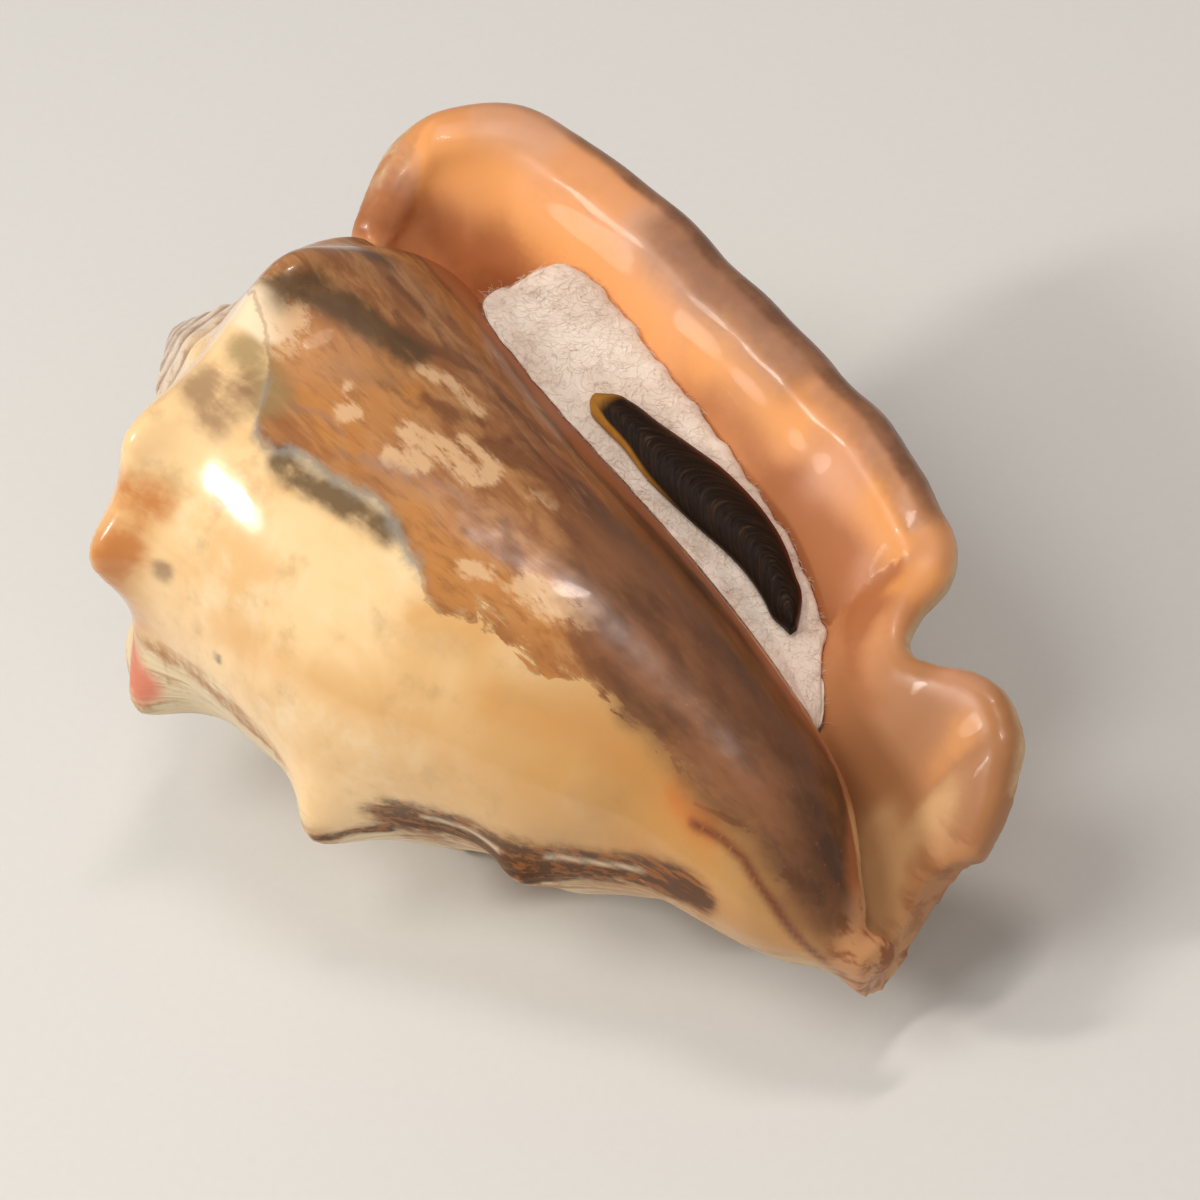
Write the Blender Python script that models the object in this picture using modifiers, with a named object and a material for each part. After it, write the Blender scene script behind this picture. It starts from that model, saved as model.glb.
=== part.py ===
"""Adult true conch shell, thetystrombus latus, lying on its knobbed back with the aperture up.

The grown shell is one piece. A wad of cotton wool fills its aperture, and the horny operculum lies on
the wool. The shell is drawn in its own frame, in millimetres: the axis of coiling is Z with the apex up,
+X points to the outer lip and -Y is the ventral, aperture side. The empty shell_pose then lays all three
pieces in their resting place in the world, in metres, +Z up.
"""
import bmesh
import bpy
import numpy as np
from mathutils import Matrix, Vector
from mathutils.bvhtree import BVHTree

MM = 0.001
TAU = 2 * np.pi

# Driving dimensions, millimetres in the shell's own frame.
APEX_Z = 118.0
SHOULDER_Z = 91.5
SHOULDER_R = 23.5
SPIRE_GROWTH = 1.46
BODY_GROWTH = 1.30
RAMP_SLOPE = 1.25
INNER_LIP_AZIMUTH = -35.0
WALL_HALF = 1.7
WALL_ROOT_TURN = 0.46
FLARE_TURN = 0.75
CANAL_BEND = 5.5

# Wool in the aperture and the operculum on it, millimetres in the shell's own frame.
WOOL_LOW = 35.0
WOOL_HIGH = 88.8
WOOL_DEPTH = 9.0
WOOL_GAP = 0.8
OPERCULUM_THICK = 1.4
OPERCULUM_GAP = 0.35

# Faceting, metres.
VOXEL = 0.0013
SHELL_SHARE_KEPT = 0.19
FLAT_DEPTH = 0.0005

# Direction of the shell frame that is up while the shell rests on four knobs of its back.
REST_UP = (-0.074, -0.987, 0.144)

# Radius over shoulder radius, by height, on the columella side and on the left side of the last whorl.
SIDE_LIP = [(4.0, 0.0), (4.6, 0.075), (6.0, 0.115), (8.0, 0.15), (11.0, 0.17), (14.3, 0.25),
            (17.6, 0.35), (21.7, 0.43), (27.0, 0.50), (34.0, 0.575), (42.0, 0.645), (56.0, 0.745),
            (70.0, 0.84), (78.0, 0.91), (86.0, 0.98), (92.0, 1.0), (98.0, 1.0)]
SIDE_BACK = [(4.0, 0.0), (4.6, 0.08), (6.0, 0.13), (7.5, 0.165), (10.2, 0.215), (14.3, 0.31),
             (18.4, 0.36), (22.6, 0.39), (27.6, 0.43), (32.0, 0.51), (42.0, 0.66), (48.6, 0.76),
             (54.4, 0.86), (62.0, 0.95), (70.0, 0.995), (78.0, 1.0), (84.0, 1.0), (96.0, 1.0)]

# Knobs of the last whorl: turn, height from the shoulder, standing out, width along and width up.
KNOBS = [
    (0.085, 8.5, 5.6, 11.0, 5.5),
    (0.150, 2.0, 4.2, 8.0, 6.5),
    (0.285, 1.5, 4.4, 6.5, 5.5),
    (0.357, 0.5, 5.0, 6.5, 5.8),
    (0.475, 0.0, 6.0, 6.5, 5.8),
    (0.600, 0.0, 6.8, 7.5, 6.0),
    (0.720, 0.0, 6.0, 8.0, 6.0),
    (0.850, 0.0, 4.0, 8.0, 6.0),
    (0.470, -28.0, 5.0, 7.0, 5.0),
    (0.600, -27.0, 3.8, 7.5, 5.0),
    (0.730, -26.0, 3.3, 8.0, 5.0),
    (0.470, -49.0, 2.6, 6.5, 4.5),
    (0.600, -48.0, 2.2, 7.0, 4.5),
]

# Rim of the outer lip, from the siphonal canal past the stromboid notch to the suture:
# share of the edge, centre of the rolled rim, half thickness.
RIM = [
    (0.00, (15.2, -8.0, 6.4), 1.3),
    (0.04, (18.3, -8.7, 7.8), 1.7),
    (0.08, (20.7, -9.3, 10.1), 1.9),
    (0.11, (21.9, -9.5, 13.1), 1.9),
    (0.14, (21.6, -9.0, 16.4), 1.8),
    (0.175, (20.2, -8.0, 20.2), 1.6),
    (0.20, (19.8, -7.2, 23.4), 1.6),
    (0.225, (21.2, -7.2, 26.2), 1.7),
    (0.25, (24.2, -8.0, 27.9), 1.9),
    (0.28, (27.6, -9.0, 28.3), 2.2),
    (0.31, (30.0, -9.7, 29.8), 2.5),
    (0.36, (31.7, -11.0, 33.6), 2.7),
    (0.45, (34.4, -12.5, 43.6), 2.8),
    (0.55, (35.5, -14.0, 56.4), 2.8),
    (0.65, (36.5, -15.5, 69.7), 2.8),
    (0.75, (36.8, -17.0, 85.6), 2.9),
    (0.82, (35.2, -18.0, 96.4), 3.0),
    (0.88, (30.6, -18.5, 102.3), 3.0),
    (0.92, (25.6, -18.0, 104.2), 3.0),
    (0.96, (19.9, -16.8, 103.6), 2.6),
    (1.00, (13.5, -13.6, 101.6), 2.0),
]

# Direction in which the lip runs out at its rim: share of the edge, degrees ventral of +X, rise.
LIP_RUNOUT = [(0.0, (50, -0.9)), (0.06, (42, -0.5)), (0.12, (35, 0.0)), (0.17, (38, 0.15)),
              (0.2, (42, 0.0)), (0.225, (42, -0.6)), (0.25, (38, -1.8)), (0.28, (32, -1.3)),
              (0.31, (28, -0.5)), (0.4, (27, 0.0)), (0.5, (25, 0.0)), (0.75, (20, 0.15)),
              (0.9, (40, 0.6)), (1.0, (75, 0.3))]

# Ventral face of the wool: height, y.
WOOL_FRONT = [(26, -0.4), (32, -1.7), (36.8, -2.9), (42, -4.2), (52, -6.6), (61, -8.7), (68, -10.3),
              (75, -11.9), (82, -13.0), (86, -12.9), (90, -11.8)]

# Operculum: height, its edge towards the columella, its edge towards the lip.
OPERCULUM = [(68.2, 19.0, 20.1), (67.2, 18.3, 21.3), (65.0, 18.0, 22.0), (61.3, 17.9, 22.8),
             (57.0, 17.4, 23.9), (53.0, 17.4, 24.5), (50.0, 17.8, 24.6), (46.5, 17.8, 23.8),
             (43.0, 17.5, 22.6), (40.0, 17.1, 21.3), (38.0, 16.6, 20.0), (36.2, 16.7, 17.9)]


def smooth(x, low, high):
    t = np.clip((x - low) / (high - low), 0, 1)
    return t * t * (3 - 2 * t)


def soft_max(a, b, blend):
    h = np.clip(0.5 + 0.5 * (a - b) / blend, 0, 1)
    return b + (a - b) * h + blend * h * (1 - h)


def soft_min(a, b, blend):
    return -soft_max(-a, -b, blend)


def keyed(x, keys):
    """Smooth curve through (x, value) keys, as a cubic Hermite."""
    kx = np.array([k[0] for k in keys], float)
    ky = np.array([k[1] for k in keys], float)
    slope = np.gradient(ky, kx)
    x = np.clip(x, kx[0], kx[-1])
    i = np.clip(np.searchsorted(kx, x) - 1, 0, len(kx) - 2)
    h = kx[i + 1] - kx[i]
    t = (x - kx[i]) / h
    rise = (t**3 - 2 * t**2 + t) * h * slope[i] + (t**3 - t**2) * h * slope[i + 1]
    return (2 * t**3 - 3 * t**2 + 1) * ky[i] + (3 * t**2 - 2 * t**3) * ky[i + 1] + rise


def keyed_points(x, keys):
    count = len(keys[0][1])
    return np.stack([keyed(x, [(k[0], k[1][j]) for k in keys]) for j in range(count)], -1)


def turn_of(azimuth):
    """Share of the last whorl, from 0 at the inner lip to 1 a full turn later."""
    return np.mod((np.radians(INNER_LIP_AZIMUTH) - azimuth) / TAU, 1.0)


def azimuth_of(turn):
    return np.radians(INNER_LIP_AZIMUTH) - TAU * turn


def shoulder(turn):
    """Radius and height of the whorls' shoulder; turns below 0 are the spire's."""
    radius = SHOULDER_R * np.where(turn < 0, SPIRE_GROWTH**turn, BODY_GROWTH**np.minimum(turn, 0.6))
    drop = np.where(turn < 0, SPIRE_GROWTH**turn, 1 + (SPIRE_GROWTH - 1) * 0.55 * turn)
    return radius, APEX_Z - (APEX_Z - SHOULDER_Z) * drop


def whorl_radius(turn, z):
    """Outside of the whorl without its knobs: side below the shoulder, ramp above it."""
    radius, height = shoulder(turn)
    back = smooth(turn, 0.05, 0.42)
    side = (1 - back) * keyed(z, SIDE_LIP) + back * keyed(z, SIDE_BACK)
    crest = 0.05 * np.exp(-((turn - 0.10) / 0.06)**2) * smooth(z, 20, 50)
    flat = 0.02 * np.exp(-((turn - 0.26) / 0.07)**2)
    pillar = 0.4 * smooth(-turn, 0.03, 0.3) * (1 - smooth(z, 35, 75))
    below = radius * side * (1 + crest - flat - pillar)
    return soft_min(below, radius * 1.06 - (z - height) * RAMP_SLOPE, 0.12 * radius)


def knobs(turn, z, arc_radius):
    height = shoulder(turn)[1]
    out = np.zeros(np.broadcast(turn, z).shape)
    for knob_turn, up, stand, along_width, up_width in KNOBS:
        along = (turn - knob_turn) * TAU * arc_radius
        far = (along / along_width)**2 + ((z - height - up) / up_width)**2
        out = out + stand * (0.65 * np.exp(-far) + 0.35 * np.exp(-4 * far))
    return out


def spire_knobs(turn, z):
    radius, height = shoulder(turn)
    wave = np.maximum(np.cos(turn * TAU * 9.0), -0.3)
    band = np.exp(-((z - height + 0.02 * radius) / (0.13 * radius))**2)
    return 0.085 * radius * smooth(-turn, 0.03, 0.2) * wave * band


def body_radius(azimuth, z):
    """Outside of the spire, the columella and the last whorl up to where its free wall takes over."""
    turn = turn_of(azimuth)
    radius = np.full(np.broadcast(azimuth, z).shape, 0.02)
    for back in range(7, 0, -1):
        earlier = turn - back
        whorl = whorl_radius(earlier, z) + spire_knobs(earlier, z)
        if back == 1:
            callus = 1 - smooth(-earlier, 0.03, 0.12)
            whorl = whorl + callus * knobs(earlier, z, np.maximum(whorl, 6))
        radius = soft_max(radius, whorl, 0.35)
    last = whorl_radius(turn, z)
    last = last + knobs(turn, z, np.maximum(last, 6))
    kept = 1 - smooth(turn, 0.54, 0.62)
    radius = soft_max(radius, last * (0.55 + 0.45 * kept) - 40 * (1 - kept), 0.5)
    depth = np.maximum(APEX_Z - 1.2 - z, 0.0)
    worn_apex = np.sqrt((1.1 * depth)**2 + 4.0 * depth)
    return np.maximum(soft_min(radius, worn_apex, 0.8), 0.02)


def wall_profile(turns, share):
    """Radius and height of the free wall's outside, by turn and by share of the way to the suture."""
    radii = np.zeros((len(turns), len(share)))
    heights = np.zeros((len(turns), len(share)))
    for i, turn in enumerate(turns):
        radius, height = shoulder(turn)
        top = height + (radius * 1.06 - shoulder(turn - 1)[0]) / RAMP_SLOPE + 1.0
        z = np.linspace(5.0 + 3.0 * smooth(turn, 0.5, 0.8), top, 400)
        canal = 9.5 * np.exp(-(z / 26.0)**2) * smooth(turn, 0.52, 0.72)
        r = np.hypot(whorl_radius(np.array(turn), z), canal)
        length = np.concatenate([[0], np.cumsum(np.hypot(np.diff(r), np.diff(z)))])
        radii[i] = np.interp(share, length / length[-1], r)
        heights[i] = np.interp(share, length / length[-1], z)
    return radii, heights


def unit(vectors):
    return vectors / (np.linalg.norm(vectors, axis=-1, keepdims=True) + 1e-12)


def wall_surface(columns, whorl_rows, flare_rows):
    """Mid-surface, outward normals, half thickness and knobs of the free wall and the flared lip."""
    share = keyed(np.linspace(0, 1, columns), [(0, 0), (0.15, 0.1), (0.5, 0.34), (0.75, 0.68), (1, 1)])
    turns = np.linspace(WALL_ROOT_TURN, FLARE_TURN, whorl_rows)
    radius, height = wall_profile(turns, share)
    radius = radius - WALL_HALF - 2.0 * (1 - smooth(turns, WALL_ROOT_TURN, 0.54))[:, None]
    azimuth = azimuth_of(turns)[:, None]
    whorl = np.stack([radius * np.cos(azimuth), radius * np.sin(azimuth), height], -1)
    leaving = unit(whorl[-1] - whorl[-2])
    rim = keyed_points(share, [(k[0], k[1]) for k in RIM])
    runout = keyed_points(share, LIP_RUNOUT)
    angle = np.radians(runout[:, 0])
    arriving = unit(np.stack([np.cos(angle), -np.sin(angle), runout[:, 1]], -1))
    chord = np.linalg.norm(rim - whorl[-1], axis=-1, keepdims=True)
    t = np.linspace(0, 1, flare_rows)[1:, None, None]
    flare = ((2 * t**3 - 3 * t**2 + 1) * whorl[-1] + (t**3 - 2 * t**2 + t) * chord * leaving
             + (3 * t**2 - 2 * t**3) * rim + (t**3 - t**2) * 0.9 * chord * arriving)
    middle = np.concatenate([whorl, flare], 0)
    out = np.concatenate([np.zeros(whorl_rows), np.linspace(0, 1, flare_rows)[1:]])[:, None]
    half = WALL_HALF + (keyed(share, [(k[0], k[2]) for k in RIM])[None] - WALL_HALF) * smooth(out, 0.2, 1)
    half = half * (1 - 0.6 * smooth(share, 0.92, 1.0)[None] * (1 - smooth(out, 0.3, 0.9)))
    normal = unit(np.cross(np.gradient(middle, axis=0), np.gradient(middle, axis=1)))
    probe = middle[whorl_rows // 2, columns // 2] * (1, 1, 0)
    if normal[whorl_rows // 2, columns // 2] @ probe < 0:
        normal = -normal
    arc = np.maximum(np.hypot(whorl[..., 0], whorl[..., 1]), 6)
    bump = knobs(turns[:, None], whorl[..., 2], arc)
    bump = np.concatenate([bump, bump[-1:] * (1 - smooth(out[whorl_rows:], 0, 0.5))], 0)
    return middle, normal, half, bump


def wall_ring(columns, whorl_rows, flare_rows):
    """Closed rings round the wall: its outside, the rolled rim as a half circle, and its inside."""
    middle, normal, half, bump = wall_surface(columns, whorl_rows, flare_rows)
    outside = middle + normal * (half + bump)[..., None]
    inside = middle - normal * half[..., None]
    tangent = unit(middle[-1] - middle[-2])
    angles = np.linspace(0, np.pi, 9)[1:-1]
    roll = [middle[-1] + half[-1][:, None] * (normal[-1] * np.cos(a) + tangent * np.sin(a)) for a in angles]
    return bend_canal(np.concatenate([outside, np.array(roll), inside[::-1]], 0)), bend_canal(inside)


def bend_canal(points):
    """The canal turns to the shell's back as it nears its end."""
    points = points.copy()
    points[..., 1] += CANAL_BEND * np.clip(1 - points[..., 2] / 22.0, 0, 1.3)**2
    return points


def grid_faces(rows, columns, first=0, wrap_rows=False, wrap_columns=False):
    i, j = np.meshgrid(np.arange(rows if wrap_rows else rows - 1),
                       np.arange(columns if wrap_columns else columns - 1), indexing="ij")
    i2, j2 = (i + 1) % rows, (j + 1) % columns
    quads = np.stack([i * columns + j, i * columns + j2, i2 * columns + j2, i2 * columns + j], -1)
    return [tuple(int(v) + first for v in quad) for quad in quads.reshape(-1, 4)]


def body_grid(rows, columns):
    z = np.linspace(3.9, APEX_Z - 1.22, rows)[:, None]
    azimuth = np.linspace(0, TAU, columns, endpoint=False)[None]
    radius = body_radius(azimuth, z)
    points = np.stack([radius * np.cos(azimuth), radius * np.sin(azimuth), z + 0 * azimuth], -1)
    return bend_canal(points)


def closed_body(rows, columns):
    points = body_grid(rows, columns)
    faces = grid_faces(rows, columns, wrap_columns=True)
    faces.append(tuple(range(columns)))
    faces.append(tuple(range((rows - 1) * columns, rows * columns)))
    return points.reshape(-1, 3), faces


def closed_wall(columns, whorl_rows, flare_rows, first):
    points = wall_ring(columns, whorl_rows, flare_rows)[0]
    rows = len(points)
    faces = grid_faces(rows, columns, first, wrap_rows=True)
    for column in (0, columns - 1):
        for i in range(rows // 2):
            loop = [i, i + 1, rows - 2 - i, rows - 1 - i]
            faces.append(tuple(dict.fromkeys(first + r * columns + column for r in loop)))
    return points.reshape(-1, 3), faces


def make_mesh(name, points, faces):
    """Mesh in metres with its faces pointing out."""
    mesh = bpy.data.meshes.new(name)
    mesh.from_pydata([tuple(map(float, p)) for p in np.asarray(points) * MM], [], faces)
    work = bmesh.new()
    work.from_mesh(mesh)
    bmesh.ops.recalc_face_normals(work, faces=work.faces)
    work.to_mesh(mesh)
    work.free()
    mesh.shade_smooth()
    return mesh


def add_object(name, mesh, collection, material=None, parent=None):
    piece = bpy.data.objects.new(name, mesh)
    collection.objects.link(piece)
    piece.parent = parent
    if material:
        mesh.materials.append(material)
    return piece


def principled(name, colour, roughness, metallic=0.0):
    material = bpy.data.materials.new(name)
    material.use_nodes = True
    shader = material.node_tree.nodes["Principled BSDF"]
    shader.inputs["Base Color"].default_value = (*colour, 1.0)
    shader.inputs["Roughness"].default_value = roughness
    shader.inputs["Metallic"].default_value = metallic
    return material


def wall_tree():
    """Tree of the wall's inside, for finding where a line meets it."""
    inside = wall_ring(110, 30, 36)[1]
    points = [tuple(map(float, p)) for p in inside.reshape(-1, 3)]
    return BVHTree.FromPolygons(points, grid_faces(*inside.shape[:2]))


def aperture_sides(tree, y, z):
    """x of the columella's skin and of the wall's inside on the line through (y, z) along x."""
    near = 20.0
    for _ in range(4):
        radius = float(body_radius(np.array([np.arctan2(y, near)]), np.array([z]))[0])
        near = np.sqrt(max(radius**2 - y**2, 1.0))
    hit = tree.ray_cast(Vector((near, y, z)), Vector((1.0, 0.0, 0.0)))[0]
    return near, hit.x


def wool_points(tree, rows=24, columns=7, sides=4):
    """Rings of the wad at growing heights: front, along the wall, back and along the columella."""
    rings = []
    for z in WOOL_LOW + (WOOL_HIGH - WOOL_LOW) * np.linspace(0, 1, rows):
        end = min(z - WOOL_LOW, WOOL_HIGH - z) / 5.0
        fullness = np.sqrt(1 - (1 - min(end + 0.02, 1.0))**2)
        front = float(keyed(np.array([z]), WOOL_FRONT)[0]) + 2.0 * (1 - fullness)
        depth = WOOL_DEPTH * fullness * float(smooth(z, 20.0, 55.0))
        across = [(u, 0.0) for u in np.linspace(0, 1, columns)]
        across += [(1.0, v) for v in np.linspace(0, 1, sides)[1:-1]]
        across += [(u, 1.0) for u in np.linspace(1, 0, columns)]
        across += [(0.0, v) for v in np.linspace(1, 0, sides)[1:-1]]
        ring = []
        for u, v in across:
            y = front + depth * v + 0.7 * (1 - 2 * v) * abs(2 * u - 1)**6
            near, far = aperture_sides(tree, y, z)
            near, far = near + WOOL_GAP, far - WOOL_GAP
            ring.append(((near + far) / 2 + (u - 0.5) * (far - near) * (0.35 + 0.65 * fullness), y, z))
        rings.append(ring)
    return np.array(rings)


def operculum_points(rows=18, columns=7):
    """Rings of the curved horny blade: domed outer face, then its flat underside."""
    rings = []
    for z in np.linspace(OPERCULUM[-1][0], OPERCULUM[0][0], rows):
        left, right = (float(keyed(np.array([z]), [(k[0], k[i]) for k in OPERCULUM[::-1]])[0]) for i in (1, 2))
        under = float(keyed(np.array([z]), WOOL_FRONT)[0]) - OPERCULUM_GAP
        u = np.linspace(0, 1, columns)
        dome = OPERCULUM_THICK * (0.35 + 0.65 * np.sqrt(np.sin(np.pi * np.clip(u, 0.02, 0.98))))
        top = [(left + (right - left) * a, under - d, z) for a, d in zip(u, dome)]
        bottom = [(left + (right - left) * a, under, z) for a in u[::-1]]
        rings.append(top + bottom)
    return np.array(rings)


def lofted_mesh(name, rings):
    rows, columns = rings.shape[:2]
    faces = grid_faces(rows, columns, wrap_columns=True)
    faces.append(tuple(range(columns)))
    faces.append(tuple(range((rows - 1) * columns, rows * columns)))
    return make_mesh(name, rings.reshape(-1, 3), faces)


def grown_together(source):
    """One skin round the overlapping parts of the mesh, without the stray pockets inside it."""
    remesh = source.modifiers.new("Grown together", "REMESH")
    remesh.mode = "VOXEL"
    remesh.voxel_size = VOXEL
    relax = source.modifiers.new("Smooth joins", "SMOOTH")
    relax.factor = 0.5
    relax.iterations = 2
    depsgraph = bpy.context.evaluated_depsgraph_get()
    mesh = bpy.data.meshes.new_from_object(source.evaluated_get(depsgraph))
    source.modifiers.clear()
    work = bmesh.new()
    work.from_mesh(mesh)
    unseen = set(work.verts)
    skins = []
    while unseen:
        front = [unseen.pop()]
        skin = list(front)
        while front:
            near = {e.other_vert(v) for v in front for e in v.link_edges} & unseen
            unseen -= near
            front = list(near)
            skin += front
        skins.append(skin)
    skins.sort(key=len)
    for skin in skins[:-1]:
        bmesh.ops.delete(work, geom=skin, context="VERTS")
    work.to_mesh(mesh)
    work.free()
    mesh.shade_smooth()
    return mesh


def build_shell(collection, material, pose):
    """Spire, last whorl and lip, grown together as one skin."""
    body_points, body_faces = closed_body(200, 190)
    wall_points, wall_faces = closed_wall(110, 30, 36, len(body_points))
    mesh = make_mesh("shell", np.concatenate([body_points, wall_points]), body_faces + wall_faces)
    shell = add_object("shell", mesh, collection, parent=pose)
    bpy.context.view_layer.update()
    shell.data = grown_together(shell)
    shell.data.materials.append(material)
    facets = shell.modifiers.new("Fewer facets", "DECIMATE")
    facets.ratio = SHELL_SHARE_KEPT
    return shell


def rest_matrix():
    """Turn from the shell's frame to the world: its aperture up, its apex towards -X."""
    up = Vector(REST_UP).normalized()
    along = Vector((0.0, 0.0, -1.0))
    along = (along - up * along.dot(up)).normalized()
    return Matrix((along, up.cross(along), up))


def evaluated_corners(piece):
    """Lowest and highest corner of the evaluated mesh in the world."""
    depsgraph = bpy.context.evaluated_depsgraph_get()
    mesh = piece.evaluated_get(depsgraph).to_mesh()
    points = np.array([piece.matrix_world @ v.co for v in mesh.vertices])
    return points.min(0), points.max(0)


def lay_down(pose, shell):
    """Bottom centre of the shell's box to the world's origin, sunk by the depth of its worn flats."""
    bpy.context.view_layer.update()
    low, high = evaluated_corners(shell)
    pose.location = (-(low[0] + high[0]) / 2, -(low[1] + high[1]) / 2, -low[2] - FLAT_DEPTH)
    bpy.context.view_layer.update()


def cut_flats(shell, cutters):
    """Worn flats on the knobs that the shell rests on, all in the plane z = 0."""
    bpy.ops.mesh.primitive_cube_add(size=1.0, location=(0.0, 0.0, -0.01))
    slab = bpy.context.object
    slab.name = "ground_cutter"
    slab.scale = (0.3, 0.3, 0.02)
    for holder in list(slab.users_collection):
        holder.objects.unlink(slab)
    cutters.objects.link(slab)
    slab.hide_render = True
    slab.display_type = "WIRE"
    worn = shell.modifiers.new("Worn flats", "BOOLEAN")
    worn.operation = "DIFFERENCE"
    worn.solver = "EXACT"
    worn.object = slab


def main():
    for existing in list(bpy.data.objects):
        bpy.data.objects.remove(existing, do_unlink=True)
    collection = bpy.data.collections.new("thetystrombus_latus")
    cutters = bpy.data.collections.new("cutters")
    bpy.context.scene.collection.children.link(collection)
    bpy.context.scene.collection.children.link(cutters)
    pose = add_object("shell_pose", None, collection)
    pose.rotation_euler = rest_matrix().to_euler("XYZ")

    glazed = principled("porcelain_shell", (0.72, 0.47, 0.27), 0.25)
    shell = build_shell(collection, glazed, pose)
    lay_down(pose, shell)
    cut_flats(shell, cutters)

    tree = wall_tree()
    wool = principled("white_wool", (0.80, 0.78, 0.76), 0.95)
    add_object("cotton_wool", lofted_mesh("cotton_wool", wool_points(tree)), collection, wool, pose)
    horn = principled("dark_horn", (0.05, 0.03, 0.02), 0.45)
    add_object("operculum", lofted_mesh("operculum", operculum_points()), collection, horn, pose)


main()
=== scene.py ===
"""Looks of an adult true conch shell that rests on its knobbed back with the aperture up.

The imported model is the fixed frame. Three pieces stand for its nodes: the glazed shell as one skin, the wad of
cotton wool that fills the aperture and the horny operculum on the wool. All three are drawn in the shell's own
frame, in millimetres, with the axis of coiling on Z and the apex up, and then laid in their resting place.
"""

import bmesh
import bpy
import numpy as np
from mathutils import Matrix, Vector
from mathutils.bvhtree import BVHTree


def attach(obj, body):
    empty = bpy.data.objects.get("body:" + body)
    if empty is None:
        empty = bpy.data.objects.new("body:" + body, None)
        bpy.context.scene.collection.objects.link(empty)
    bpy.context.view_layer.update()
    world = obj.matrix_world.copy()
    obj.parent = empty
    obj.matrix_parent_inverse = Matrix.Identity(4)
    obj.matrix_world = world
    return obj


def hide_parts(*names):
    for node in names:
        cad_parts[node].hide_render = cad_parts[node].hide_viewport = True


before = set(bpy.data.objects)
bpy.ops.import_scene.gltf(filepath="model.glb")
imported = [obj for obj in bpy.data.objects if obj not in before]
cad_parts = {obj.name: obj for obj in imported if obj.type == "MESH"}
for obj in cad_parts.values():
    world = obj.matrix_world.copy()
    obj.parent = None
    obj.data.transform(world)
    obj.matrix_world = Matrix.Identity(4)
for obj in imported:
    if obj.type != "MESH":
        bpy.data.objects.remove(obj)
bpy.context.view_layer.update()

MM = 0.001
TAU = 2 * np.pi

# Where the shell's own frame lies in the world: the direction that is up, and the place of its origin in metres.
REST_UP = (-0.074, -0.987, 0.144)
REST_PLACE = (0.059738, -0.005392, 0.017830)

# Driving dimensions, millimetres in the shell's own frame.
APEX_Z = 118.0
SHOULDER_Z = 91.5
SHOULDER_R = 23.5
SPIRE_GROWTH = 1.46
BODY_GROWTH = 1.30
RAMP_SLOPE = 1.25
INNER_LIP_AZIMUTH = -35.0
WALL_HALF = 1.7
WALL_ROOT_TURN = 0.46
FLARE_TURN = 0.75
CANAL_BEND = 5.5
RIM_CREST = 0.55
RIM_WAVE = 0.16

WOOL_LOW = 27.5
WOOL_HIGH = 85.4
WOOL_DEPTH = 7.0
WOOL_GAP = 0.1
WOOL_RISE = 0.9
FIBRES_PER_MM2 = 3.6
FIBRE_LENGTH = 1.7
FIBRE_THICK = 0.015
OPERCULUM_THICK = 1.4
OPERCULUM_GAP = 0.35

# Fineness of the meshes: the body's rows and columns, the wall's columns, whorl rows and flare rows, the same for
# the wall that only measures, and the voxels, in metres, in which body and wall grow together.
BODY_GRID = (430, 400)
WALL_GRID = (260, 70, 90)
MEASURING_GRID = (150, 40, 50)
VOXEL = 0.00064
RELAX_ROUNDS = 12

# Length and width of the lip when it is laid flat, for its strokes of colour.
LIP_LONG = 130.0
LIP_WIDE = 28.0

# Radius over shoulder radius, by height, on the columella side and on the left side of the last whorl.
SIDE_LIP = [(4.0, 0.0), (4.6, 0.06), (6.0, 0.05), (7.2, 0.03), (8.2, 0.035), (9.5, 0.09), (11.0, 0.135), (14.3, 0.25),
            (17.6, 0.35), (21.7, 0.43), (27.0, 0.50), (34.0, 0.575), (42.0, 0.645), (56.0, 0.745),
            (70.0, 0.84), (78.0, 0.91), (86.0, 0.98), (92.0, 1.0), (98.0, 1.0)]
SIDE_BACK = [(4.0, 0.0), (4.6, 0.08), (6.0, 0.13), (7.5, 0.165), (10.2, 0.215), (14.3, 0.31),
             (18.4, 0.36), (22.6, 0.39), (27.6, 0.43), (32.0, 0.51), (42.0, 0.66), (48.6, 0.76),
             (54.4, 0.86), (62.0, 0.95), (70.0, 0.995), (78.0, 1.0), (84.0, 1.0), (96.0, 1.0)]

# Knobs of the last whorl, and at the end two gentle swells of its front: turn, height from the shoulder,
# standing out, width along and width up.
KNOBS = [(0.045, 9.0, 2.4, 5.0, 5.0), (0.085, 8.5, 5.6, 11.0, 5.5), (0.150, 2.0, 4.2, 8.0, 6.5),
         (0.285, 1.5, 4.4, 6.5, 5.5), (0.357, 0.5, 5.0, 6.5, 5.8), (0.475, 0.0, 6.0, 6.5, 5.8),
         (0.600, 0.0, 6.8, 7.5, 6.0), (0.720, 0.0, 6.0, 8.0, 6.0), (0.850, 0.0, 4.0, 8.0, 6.0),
         (0.470, -28.0, 5.0, 7.0, 5.0), (0.600, -27.0, 3.8, 7.5, 5.0), (0.730, -26.0, 3.3, 8.0, 5.0),
         (0.470, -49.0, 2.6, 6.5, 4.5), (0.600, -48.0, 2.2, 7.0, 4.5), (0.283, -11.7, 1.3, 15.0, 15.0),
         (0.167, -44.3, 0.6, 11.0, 12.0)]

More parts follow.
